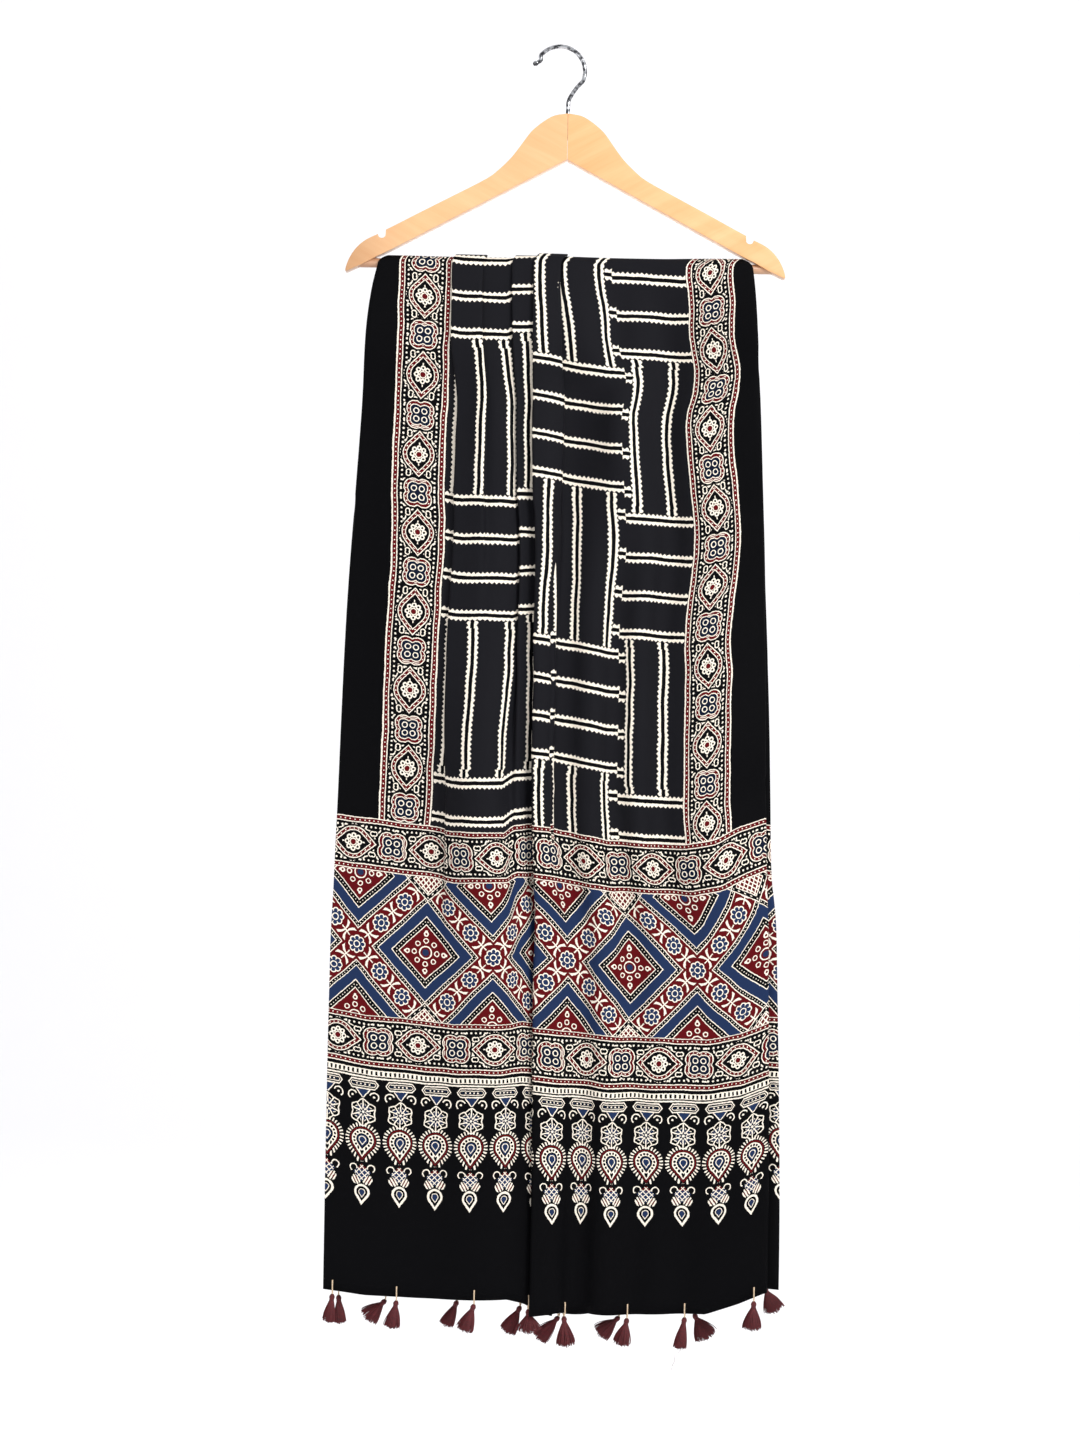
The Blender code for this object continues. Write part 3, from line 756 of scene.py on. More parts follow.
@dataclass(frozen=True)
class ChromeFinish:
    """Polished chrome wire with faint wear, its colour painted with dark and light patches that stand in for
    reflections.
    """

    def build(self) -> bpy.types.Material:
        """Makes the chrome."""
        mat = bpy.data.materials.new("chromed_wire")
        mat.use_nodes = True
        tree = mat.node_tree
        shader = tree.nodes["Principled BSDF"]
        shader.inputs["Metallic"].default_value = 1.0
        coords = tree.nodes.new("ShaderNodeTexCoord")
        noise = tree.nodes.new("ShaderNodeTexNoise")
        noise.inputs["Scale"].default_value = 260.0
        noise.inputs["Detail"].default_value = 3.0
        tree.links.new(coords.outputs["Object"], noise.inputs["Vector"])
        wear = Signal(tree, noise.outputs["Fac"]) * 0.14 + 0.06
        tree.links.new(wear.socket, shader.inputs["Roughness"])
        # Painted reflection: the noise mixes dark and light grey into the chrome's colour, in place of reflected
        # surroundings.
        ramp = tree.nodes.new("ShaderNodeValToRGB")
        ramp.color_ramp.elements[0].position = 0.4
        ramp.color_ramp.elements[0].color = linear(70, 71, 74)
        ramp.color_ramp.elements[1].position = 0.58
        ramp.color_ramp.elements[1].color = linear(206, 207, 210)
        tree.links.new(noise.outputs["Fac"], ramp.inputs[0])
        tree.links.new(ramp.outputs[0], shader.inputs["Base Color"])
        return mat


@dataclass(frozen=True)
class YarnFinish:
    """Spun yarn, soft and slightly uneven in colour."""

    name: str
    light: tuple
    dark: tuple
    scale: float = 700.0
    sheen: float = 0.35

    def build(self) -> bpy.types.Material:
        """Makes the yarn."""
        mat = bpy.data.materials.new(self.name)
        mat.use_nodes = True
        tree = mat.node_tree
        shader = tree.nodes["Principled BSDF"]
        coords = tree.nodes.new("ShaderNodeTexCoord")
        noise = tree.nodes.new("ShaderNodeTexNoise")
        noise.inputs["Scale"].default_value = self.scale
        noise.inputs["Detail"].default_value = 3.0
        tree.links.new(coords.outputs["Object"], noise.inputs["Vector"])
        ramp = tree.nodes.new("ShaderNodeValToRGB")
        ramp.color_ramp.elements[0].position = 0.3
        ramp.color_ramp.elements[0].color = self.dark
        ramp.color_ramp.elements[1].position = 0.72
        ramp.color_ramp.elements[1].color = self.light
        tree.links.new(noise.outputs["Fac"], ramp.inputs[0])
        tree.links.new(ramp.outputs[0], shader.inputs["Base Color"])
        shader.inputs["Roughness"].default_value = 0.72
        shader.inputs["Sheen Weight"].default_value = self.sheen
        bump = tree.nodes.new("ShaderNodeBump")
        bump.inputs["Strength"].default_value = 0.5
        bump.inputs["Distance"].default_value = 0.0002
        tree.links.new(noise.outputs["Fac"], bump.inputs["Height"])
        tree.links.new(bump.outputs[0], shader.inputs["Normal"])
        return mat


# Meshes

def to_row(point: Sequence[float]) -> Vector:
    """Moves a point in millimetres from the dome's top into the row frame, in metres."""
    return Vector(((point[0] + SHANK_X) * MM, point[1] * MM, (point[2] + DOME_Z) * MM))


def dress(bm: bmesh.types.BMesh, name: str, mat: bpy.types.Material, node: str, body: str,
          smooth: Optional[float] = None) -> bpy.types.Object:
    """Makes a piece of a mesh in millimetres, which rides on a body and replaces a CAD node.

    Args:
        bm: The mesh, measured from the dome's top.
        name: The piece's name.
        mat: Its material.
        node: The node that it stands for.
        body: The body that it rides on.
        smooth: Angle up to which edges are shaded smooth, in degrees.

    Returns:
        The piece.
    """
    for vert in bm.verts:
        vert.co = to_row(vert.co)
    bmesh.ops.recalc_face_normals(bm, faces=bm.faces)
    mesh = bpy.data.meshes.new(name)
    bm.to_mesh(mesh)
    bm.free()
    mesh.materials.append(mat)
    if smooth is not None:
        mesh.shade_smooth()
        mesh.set_sharp_from_angle(angle=math.radians(smooth))
    piece = bpy.data.objects.new(name, mesh)
    bpy.context.collection.objects.link(piece)
    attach(piece, body)
    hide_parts(node)
    log.info("%s: %d faces", name, len(mesh.polygons))
    return piece


def smooth_points(points: Sequence[Sequence[float]], steps: int) -> list[Vector]:
    """Points on the smooth curve through the given ones.

    Args:
        points: Points that the curve passes through.
        steps: Steps from each to the next.

    Returns:
        The curve's points.
    """
    pts = [Vector(p) for p in points]
    ends = [2 * pts[0] - pts[1]] + pts + [2 * pts[-1] - pts[-2]]
    out = []
    for i in range(1, len(ends) - 2):
        before, here, there, after = ends[i - 1:i + 3]
        for k in range(steps):
            t = k / steps
            out.append(0.5 * (2 * here + (there - before) * t
                              + (2 * before - 5 * here + 4 * there - after) * t ** 2
                              + (3 * here - before - 3 * there + after) * t ** 3))
    return out + [pts[-1]]


def sweep(bm: bmesh.types.BMesh, path: Sequence[Vector], radii: Sequence[float], sides: int,
          side_axis: Vector, twist: float = 0.0, lobes: float = 0.0) -> None:
    """Extrudes a ring along a path and closes its ends.

    Args:
        bm: Mesh to add to.
        path: Points of the path.
        radii: Radius at each point.
        sides: Sides of the ring.
        side_axis: Direction that the ring keeps square to.
        twist: Turn of the ring for each millimetre along the path, in radians.
        lobes: Depth of the two plies' furrows, as a share of the radius.
    """
    ring: list[bmesh.types.BMVert] = []
    run = 0.0
    first: list[bmesh.types.BMVert] = []
    for i, point in enumerate(path):
        ahead = (path[min(i + 1, len(path) - 1)] - path[max(i - 1, 0)]).normalized()
        across = ahead.cross(side_axis).normalized()
        up = across.cross(ahead)
        if i:
            run += (point - path[i - 1]).length
        places = []
        for k in range(sides):
            turn = 2 * math.pi * k / sides
            swell = 1.0 - lobes * (1.0 - abs(math.cos(turn)))
            spun = turn + twist * run
            places.append(point + radii[i] * swell * (math.cos(spun) * across + math.sin(spun) * up))
        if not ring:
            made = bmesh.ops.create_circle(bm, segments=sides, radius=1.0)
            ring = made["verts"]
            first = ring
            edges = list({e for v in ring for e in v.link_edges})
        else:
            pushed = bmesh.ops.extrude_edge_only(bm, edges=edges)["geom"]
            edges = [g for g in pushed if isinstance(g, bmesh.types.BMEdge)]
            fresh = [g for g in pushed if isinstance(g, bmesh.types.BMVert)]
            order = {}
            for vert in fresh:
                for edge in vert.link_edges:
                    other = edge.other_vert(vert)
                    if other in ring:
                        order[ring.index(other)] = vert
            ring = [order[k] for k in range(sides)]
        for vert, place in zip(ring, places):
            vert.co = place
    bmesh.ops.contextual_create(bm, geom=first)
    bmesh.ops.contextual_create(bm, geom=ring)


# Cloth

@dataclass(frozen=True)
class Pleat:
    """A fold whose layers lie flat on each other, level by level down the cloth.

    side is 1 where the cloth on the right lies in front. middle is its middle across the flat
    cloth, hidden the length that it takes up, and radius the radius of its bends.
    """

    side: int
    middle: tuple[float, ...]
    hidden: tuple[float, ...]
    radius: tuple[float, ...]


@dataclass(frozen=True)
class Crease:
    """A soft trough or ridge across the cloth, from one thread and height to another."""

    start: tuple[float, float]
    end: tuple[float, float]
    width: float
    depth: float


@dataclass
class Stole:
    """The cloth, as it falls in pressed pleats and soft waves from the bar."""

    levels: tuple = (-8.6, 0.0, 65.0, 146.0, 356.0, 499.0, 570.0, 652.0, 977.0)
    left_outline: tuple = (-169.0, -178.0, -187.5, -191.3, -203.3, -207.5, -209.2, -211.0, -213.4)
    right_fold: tuple = (167.0, 178.0, 182.0, 186.5, 196.0, 199.0, 201.0, 203.6, 206.8)
    right_selvedge: tuple = (165.5, 176.5, 180.5, 186.0, 199.5, 205.0, 208.0, 211.6, 217.3)
    lowest_offset: tuple = (0.0, 0.0, -2.5, -3.8, -3.8, -3.8, -3.8, -3.8, -3.8)
    turned_length: tuple = (22.4, 16.9, 8.0, 6.0, 1.0, 1.0, 1.0, 1.0, 1.0)
    turned_angle: tuple = (180.0, 180.0, 180.0, 150.0, 0.0, 0.0, 0.0, 0.0, 0.0)
    fold_radius: tuple = (0.6, 0.7, 1.5, 1.9, 1.6, 1.8, 1.9, 2.0, 2.0)
    shortest_hold: float = 2.0
    pleats: tuple = (
        Pleat(1, (105, 105, 105, 108, 108, 108, 108, 108, 108), (21, 21, 20, 11, 14, 2, 1, 0, 0),
              (0.6, 0.7, 1.1, 1.3, 1.4, 1.5, 1.5, 1.5, 1.5)),
        Pleat(-1, (144, 144, 144, 144, 144, 144, 144, 144, 144), (14, 14, 12, 6, 0, 0, 0, 0, 0),
              (0.6, 0.7, 1.1, 1.3, 1.5, 1.5, 1.5, 1.5, 1.5)),
        Pleat(1, (191, 191, 191, 191, 191, 191, 191, 191, 191), (13, 13, 15, 21, 16, 2, 1, 0, 0),
              (0.6, 0.7, 1.1, 1.3, 1.4, 1.5, 1.5, 1.5, 1.5)),
        Pleat(1, (252, 252, 250, 242, 248, 248, 246, 240, 236), (47, 50, 48, 40, 50, 50, 48, 45, 51),
              (0.6, 0.7, 1.3, 2.2, 3.0, 3.4, 3.4, 3.4, 3.0)),
        Pleat(-1, (295, 295, 293, 289, 289, 289, 289, 289, 289), (16, 16, 7, 3, 0, 0, 0, 0, 0),
              (0.6, 0.7, 1.1, 1.3, 1.5, 1.5, 1.5, 1.5, 1.5)),
    )
    wave_at: tuple = (0, 30, 60, 86, 112, 130, 150, 176, 206, 216, 262, 284, 312, 340, 366, 390,
                      414, 436, 470, 566)
    waves: tuple = (
        (0, 0, -1, 0, 0, 0, 0, 0, 0, 0, 0, -1, -1, -1, 0, 0, 2, 1, 0, 0),
        (0, 0, -2, 0, 0, 0, 0, 0, 0, 0, 0, -3, -3, -3, -1, 0, 6, 3, 2, 0),
        (0, 2, -3, 0, 3, 4, -1, -9, -10, 0, 0, -12, 10, -38, 14, -18, 30, 24, 14, 1),
        (0, 12, -3, -2, 9, 30, 12, -38, -37, 0, 0, -36, 21, 50, -34, -31, 52, 9, 7, 0),
        (0, 15, -1, -3, 9, 14, 0, -34, -35, 0, 0, -50, 52, -52, 50, -52, 34, 16, -14, 0),
        (0, 5, -2, 3, 44, 41, 4, -52, -50, 0, 0, -50, 52, -52, 52, -48, 32, 14, -14, 0),
        (0, 5, 0, 3, 36, 34, 2, -52, -50, 0, 0, -50, 52, -52, 52, -50, 40, 22, -22, 0),
        (0, 5, 3, 2, 17, 14, 0, -50, -48, 0, 0, -26, 44, -45, 28, -18, 13, 3, 2, 0),
        (0, 3, -2, 1, 14, 13, 0, -19, -20, 0, 0, -40, 48, -24, 17, -10, 21, 11, 8, 0),
    )
    drop_at: tuple = (0, 39, 90, 120, 176, 191, 220, 252, 276, 342, 426, 457, 481, 505, 566)
    hem_drop: tuple = (977, 982, 984, 984, 983, 987, 998, 999, 996, 996, 992.5, 981, 970, 964, 967.5)
    rail_drop: tuple = (767.5, 774.8, 778.5, 780, 779.2, 779.5, 784, 787.5, 790, 793, 793, 787, 777,
                        768.5, 770)
    pallu_drop: tuple = (525.5, 529.7, 535.3, 539.5, 539.7, 532.5, 531, 531, 534, 545, 549, 542, 530,
                         522, 529)
    slip_at: tuple = (0, 35, 68, 102, 136, 170, 230, 271, 305, 339, 373, 407, 441, 475, 566)
    hem_slip: tuple = (0, 0, -2, -2, -2.8, -2, 0, 1.1, 5.3, 7.4, 6.7, 5.1, 4.0, 8.0, 8.0)
    mean_hem_drop: float = 987.0
    back_hem_below: float = 3.0
    rail_length: float = 202.0
    pallu_length: float = 448.0
    bar_offset: float = BAR_RADIUS + 0.35 + 0.6
    counts: tuple = (5, 4, 22, 4, 3, 4, 8, 4, 3, 4, 11, 4, 4, 4, 12, 5, 6, 5, 8, 4, 3, 4, 46, 5, 7, 5, 10)
    front_rows: int = 92
    bar_steps: int = 5
    back_rows: int = 74
    creases: tuple = (
        Crease((0, 740), (566, 746), 5.0, 1.3),
        Crease((0, 484), (566, 480), 5.0, 1.2),
        Crease((0, 236), (566, 232), 5.0, -1.1),
        Crease((0, 965), (470, 962), 6.0, 0.8),
        Crease((395, 44), (470, 80), 5.0, 1.4),
        Crease((255, 40), (262, 300), 4.0, 0.7),
        Crease((20, 60), (90, 30), 8.0, 0.9),
        Crease((430, 120), (500, 90), 9.0, -1.0),
        Crease((300, 60), (340, 20), 7.0, 0.8),
        Crease((120, 25), (190, 60), 8.0, -0.9),
        Crease((15, 900), (80, 800), 8.0, 1.0),
        Crease((440, 930), (520, 860), 8.0, 1.0),
    )

    def at_level(self, values: Sequence[float], level: float) -> float:
        """A table's value between its levels, on a curve with no kinks.

        Args:
            values: One value for each level.
            level: Distance below the bar's middle.

        Returns:
            The value there.
        """
        table = np.asarray(values, dtype=float)
        levels = np.asarray(self.levels)
        level = min(max(level, levels[0]), levels[-1])
        i = min(int(np.searchsorted(levels, level, side="right")) - 1, len(levels) - 2)
        gaps = np.diff(levels)
        slopes = np.diff(table) / gaps
        tangents = np.zeros(len(table))
        for k in range(1, len(table) - 1):
            if slopes[k - 1] * slopes[k] > 0:
                tangents[k] = 2 * slopes[k - 1] * slopes[k] / (slopes[k - 1] + slopes[k])
        h = gaps[i]
        t = (level - levels[i]) / h
        return float(table[i] * (1 + 2 * t) * (1 - t) ** 2 + tangents[i] * h * t * (1 - t) ** 2
                     + table[i + 1] * t * t * (3 - 2 * t) + tangents[i + 1] * h * t * t * (t - 1))

    def pleat_stations(self, pleat: Pleat, level: float) -> tuple[list[float], float]:
        """Where a pleat's two bends begin and end across the cloth, and how far it turns.

        Args:
            pleat: The pleat.
            level: Distance below the bar's middle.

        Returns:
            The four places and the signed turn in radians.
        """
        middle = self.at_level(pleat.middle, level)
        hidden = max(self.at_level(pleat.hidden, level), 0.0)
        bend = math.pi * self.at_level(pleat.radius, level)
        hold = max((hidden - 2 * bend) / 2, self.shortest_hold)
        turn = math.pi * min(math.sqrt(hidden / (2 * bend + 2 * self.shortest_hold)), 1.0)
        places = [middle - hold / 2 - bend, middle - hold / 2, middle + hold / 2, middle + hold / 2 + bend]
        return places, pleat.side * turn

    def walk(self, slopes: np.ndarray, threads: np.ndarray) -> tuple[np.ndarray, np.ndarray]:
        """Runs along the cloth's width, so that its length is kept.

        Args:
            slopes: The cloth's heading at each thread, in radians.
            threads: The threads' places across the flat cloth.

        Returns:
            How far across and how far out each thread lies.
        """
        middle = (slopes[1:] + slopes[:-1]) / 2
        half = (slopes[1:] - slopes[:-1]) / 2
        shrink = np.sinc(half / math.pi)
        steps = np.diff(threads)
        across = np.concatenate([[0.0], np.cumsum(np.cos(middle) * shrink * steps)])
        out = np.concatenate([[0.0], np.cumsum(np.sin(middle) * shrink * steps)])
        return across, out

    def curve(self, level: float) -> tuple[np.ndarray, np.ndarray, np.ndarray]:
        """The cloth's line at one level.

        Args:
            level: Distance below the bar's middle.

        Returns:
            Thread, place across and offset from the bar, column by column.
        """
        turned = self.at_level(self.turned_length, level)
        turned_angle = math.radians(self.at_level(self.turned_angle, level))
        waves = [math.radians(self.at_level([row[k] for row in self.waves], level))
                 for k in range(len(self.wave_at))]
        stations = [0.0, turned, turned + math.pi]
        steps_at = list(stations)
        steps = [turned_angle, turned_angle, 0.0]
        for pleat in self.pleats:
            places, turn = self.pleat_stations(pleat, level)
            stations += places
            steps_at += places
            steps += [0.0, turn, turn, 0.0]
        scan = np.linspace(0.0, CLOTH_WIDTH, 1133)
        total = np.interp(scan, self.wave_at, waves) + np.interp(scan, steps_at, steps)
        x, _ = self.walk(total, scan)
        x += self.at_level(self.left_outline, level) - x[scan < 60].min()
        radius = self.at_level(self.fold_radius, level)
        bend = math.pi * radius
        turn_x = self.at_level(self.right_fold, level) - radius
        beyond = np.where((scan > 400) & (x >= turn_x))[0]
        fold = float(np.interp(turn_x, x[beyond[0] - 2:beyond[0] + 1], scan[beyond[0] - 2:beyond[0] + 1]))
        left_over = CLOTH_WIDTH - fold - 2 * bend
        back = (left_over - (self.at_level(self.right_selvedge, level) - turn_x)) / 2
        places = [fold, fold + bend, fold + bend + back, fold + 2 * bend + back]
        stations += places + [CLOTH_WIDTH]
        steps_at += places
        steps += [0.0, -math.pi, -math.pi, 0.0]
        columns = [stations[0]]
        for start, end, count in zip(stations, stations[1:], self.counts):
            columns += [start + (end - start) * (k + 1) / count for k in range(count)]
        columns = np.array(columns)
        fine = np.unique(np.concatenate([scan, columns]))
        beside = np.interp(fine, [0.0, fold, fold + bend, fold + bend + back, fold + 2 * bend + back,
                                  fold + 2 * bend + 2 * back, CLOTH_WIDTH],
                           [0.0, fold, fold, fold - back, fold - back, fold, fold])
        total = np.interp(beside, self.wave_at, waves) + np.interp(fine, steps_at, steps)
        x, offset = self.walk(total, fine)
        x = np.interp(columns, fine, x)
        offset = np.interp(columns, fine, offset)
        x += self.at_level(self.left_outline, level) - x[:14].min()
        offset += self.at_level(self.lowest_offset, level) - offset.min()
        return columns, x, offset

    def hem(self, threads: np.ndarray, face: Face) -> np.ndarray:
        """How far below the bar the hem hangs at each thread, on one face."""
        below = self.back_hem_below if face is Face.BACK else 0.0
        return np.interp(threads, self.drop_at, self.hem_drop) + below

    def from_hem(self, threads: np.ndarray, down: np.ndarray, face: Face) -> np.ndarray:
        """How far along the cloth a place lies from the hem of its face.

        Args:
            threads: Threads across the cloth.
            down: Distances below the bar.
            face: The face.

        Returns:
            The distances along the cloth.
        """
        hem = self.hem(threads, face)
        rail = np.interp(threads, self.drop_at, self.rail_drop)
        pallu = np.interp(threads, self.drop_at, self.pallu_drop)
        low = self.rail_length * (hem - down) / (hem - rail)
        middle = (self.pallu_length - self.rail_length) * (rail - down) / (rail - pallu) + self.rail_length
        high = self.pallu_length + pallu - down
        return np.where(down > rail, low, np.where(down > pallu, middle, high))

    def drop_row(self, level: float, face: Face) -> tuple[np.ndarray, np.ndarray, np.ndarray]:
        """One row of a drop.

        Args:
            level: Distance below the bar, where the hem is at its mean.
            face: The face.

        Returns:
            Its points, its threads and their distances from the hem.
        """
        threads, x, offset = self.curve(level)
        down = level * self.hem(threads, face) / self.mean_hem_drop
        points = np.stack([x, face.value * (self.bar_offset + offset), -BAR_DOWN - down], axis=1)
        return points, threads, self.from_hem(threads, down, face)

    def rows(self) -> tuple[np.ndarray, np.ndarray, np.ndarray, np.ndarray]:
        """The whole cloth, from the front hem over the bar to the back hem.

        Returns:
            Its points, threads, distances from the nearer hem and distances from the front hem.
        """
        points, threads, near_hem = [], [], []
        for k in range(self.front_rows):
            share = 1 - k / self.front_rows
            row = self.drop_row(self.mean_hem_drop * share ** 1.04, Face.FRONT)
            for store, part in zip((points, threads, near_hem), row):
                store.append(part)
        base = {}
        for step in range(2 * self.bar_steps + 1):
            turn = math.pi / 2 * (step / self.bar_steps - 1)
            crest = 1 - abs(step / self.bar_steps - 1)
            columns, x, offset = self.curve(self.levels[0] * crest)
            out = self.bar_offset + offset
            points.append(np.stack([x, out * math.sin(turn), -BAR_DOWN + out * math.cos(turn)], axis=1))
            threads.append(columns)
            rise = self.from_hem(columns, np.zeros(len(columns)), Face.FRONT)
            near_hem.append(rise + out * (math.pi / 2 - abs(turn)))
            base[step] = out
        for k in range(self.back_rows):
            share = (k + 1) / self.back_rows
            row = self.drop_row(self.mean_hem_drop * share ** 1.04, Face.BACK)
            for store, part in zip((points, threads, near_hem), row):
                store.append(part)
        points, threads, near_hem = np.array(points), np.array(threads), np.array(near_hem)
        along = near_hem.copy()
        crest_row = self.front_rows + self.bar_steps
        steps = np.linalg.norm(np.diff(points, axis=0), axis=2)
        for i in range(crest_row + 1, len(points)):
            along[i] = along[i - 1] + steps[i - 1]
        return points, threads, near_hem, along

    def relief(self, threads: np.ndarray, along: np.ndarray) -> np.ndarray:
        """How far the listed creases stand out of the cloth.

        Args:
            threads: Threads across the cloth.
            along: Distances from the front hem.

        Returns:
            Distances outwards.
        """
        out = np.zeros(threads.shape)
        for sign, place in ((1.0, along), (1.0, CLOTH_LENGTH - 8.0 - along)):
            for crease in self.creases:
                start, end = np.array(crease.start, float), np.array(crease.end, float)
                run = end - start
                length = np.linalg.norm(run)
                wobble = 3.0 * np.sin(threads * 0.041 + crease.start[1]) + 1.4 * np.sin(threads * 0.13)
                x, y = threads - start[0], place + wobble - start[1]
                share = (x * run[0] + y * run[1]) / length ** 2
                away = np.abs(x * run[1] - y * run[0]) / length
                fade = np.clip(np.minimum(share, 1 - share) * 6 + 0.35, 0, 1)
                strength = 0.7 + 0.3 * np.sin(threads * 0.029 + crease.depth * 5)
                out -= sign * crease.depth * strength * fade * np.exp(-(away / crease.width) ** 2)
        return out

    def build(self, mat: bpy.types.Material) -> bpy.types.Object:
        """Makes the cloth as a thin sheet.

        Args:
            mat: The printed cotton.

        Returns:
            The cloth.
        """
        points, threads, near_hem, along = self.rows()
        slip = np.interp(threads, self.slip_at, self.hem_slip) * np.clip((300 - near_hem) / 120, 0, 1)
        down = np.gradient(points, axis=0)
        across = np.gradient(points, axis=1)
        normals = np.cross(across, down)
        normals /= np.linalg.norm(normals, axis=2, keepdims=True)
        points = points + normals * self.relief(threads, along)[:, :, None]
        rows, columns = threads.shape
        bm = bmesh.new()
        bmesh.ops.create_grid(bm, x_segments=columns - 1, y_segments=rows - 1, size=1.0)
        verts = sorted(bm.verts, key=lambda v: (round(v.co.y, 6), round(v.co.x, 6)))
        hem_map = bm.loops.layers.uv.new("from_hem")
        length_map = bm.loops.layers.uv.new("along_cloth")
        bake_map = bm.loops.layers.uv.new("OFBake")
        spot = {}
        for index, vert in enumerate(verts):
            i, j = divmod(index, columns)
            spot[vert] = (i, j)
            vert.co = points[i, j]
        half_way = self.front_rows + self.bar_steps
        for face in bm.faces:
            on_front = min(spot[v][0] for v in face.verts) < half_way
            for loop in face.loops:
                i, j = spot[loop.vert]
                loop[hem_map].uv = ((threads[i, j] + slip[i, j]) * MM, near_hem[i, j] * MM)
                loop[length_map].uv = (threads[i, j] * MM, along[i, j] * MM)
                side = threads[i, j] / CLOTH_WIDTH * 0.49 + (0.005 if on_front else 0.505)
                loop[bake_map].uv = (side, 0.005 + 0.985 * near_hem[i, j] / 1040.0)
        piece = dress(bm, "stole_cloth", mat, "ajrakh_cloth", BODY, 180.0)
        thickness = piece.modifiers.new("thickness", "SOLIDIFY")
        thickness.thickness = 0.0005
        thickness.offset = 0.0
        return piece

    def hem_place(self, thread: float, face: Face) -> tuple[Vector, Vector, Vector]:
        """A point on a hem, with the directions up the cloth and out of it.

        Args:
            thread: Place across the flat cloth.
            face: The face.

        Returns:
            The point, the way up the cloth and the way out of it.
        """
        low_row, threads, _ = self.drop_row(self.mean_hem_drop, face)
        high_row, _, _ = self.drop_row(self.mean_hem_drop - 40.0, face)

        def on(row: np.ndarray, place: float) -> Vector:
            """The row's point at a thread."""
            return Vector([float(np.interp(place, threads, row[:, k])) for k in range(3)])

        low = on(low_row, thread)
        up = (on(high_row, thread) - low).normalized()
        outward = (on(low_row, thread + 2) - on(low_row, thread - 2)).cross(up).normalized()
        if outward.y * face.value < 0:
            outward = -outward
        return low, up, outward


# Tassels

@dataclass(frozen=True)
class TasselPlace:
    """Where a tassel hangs on its hem, and how it falls."""

    thread: float
    lean: float
    spread: float = 1.0
    length: float = 1.0
    loose: int = 0


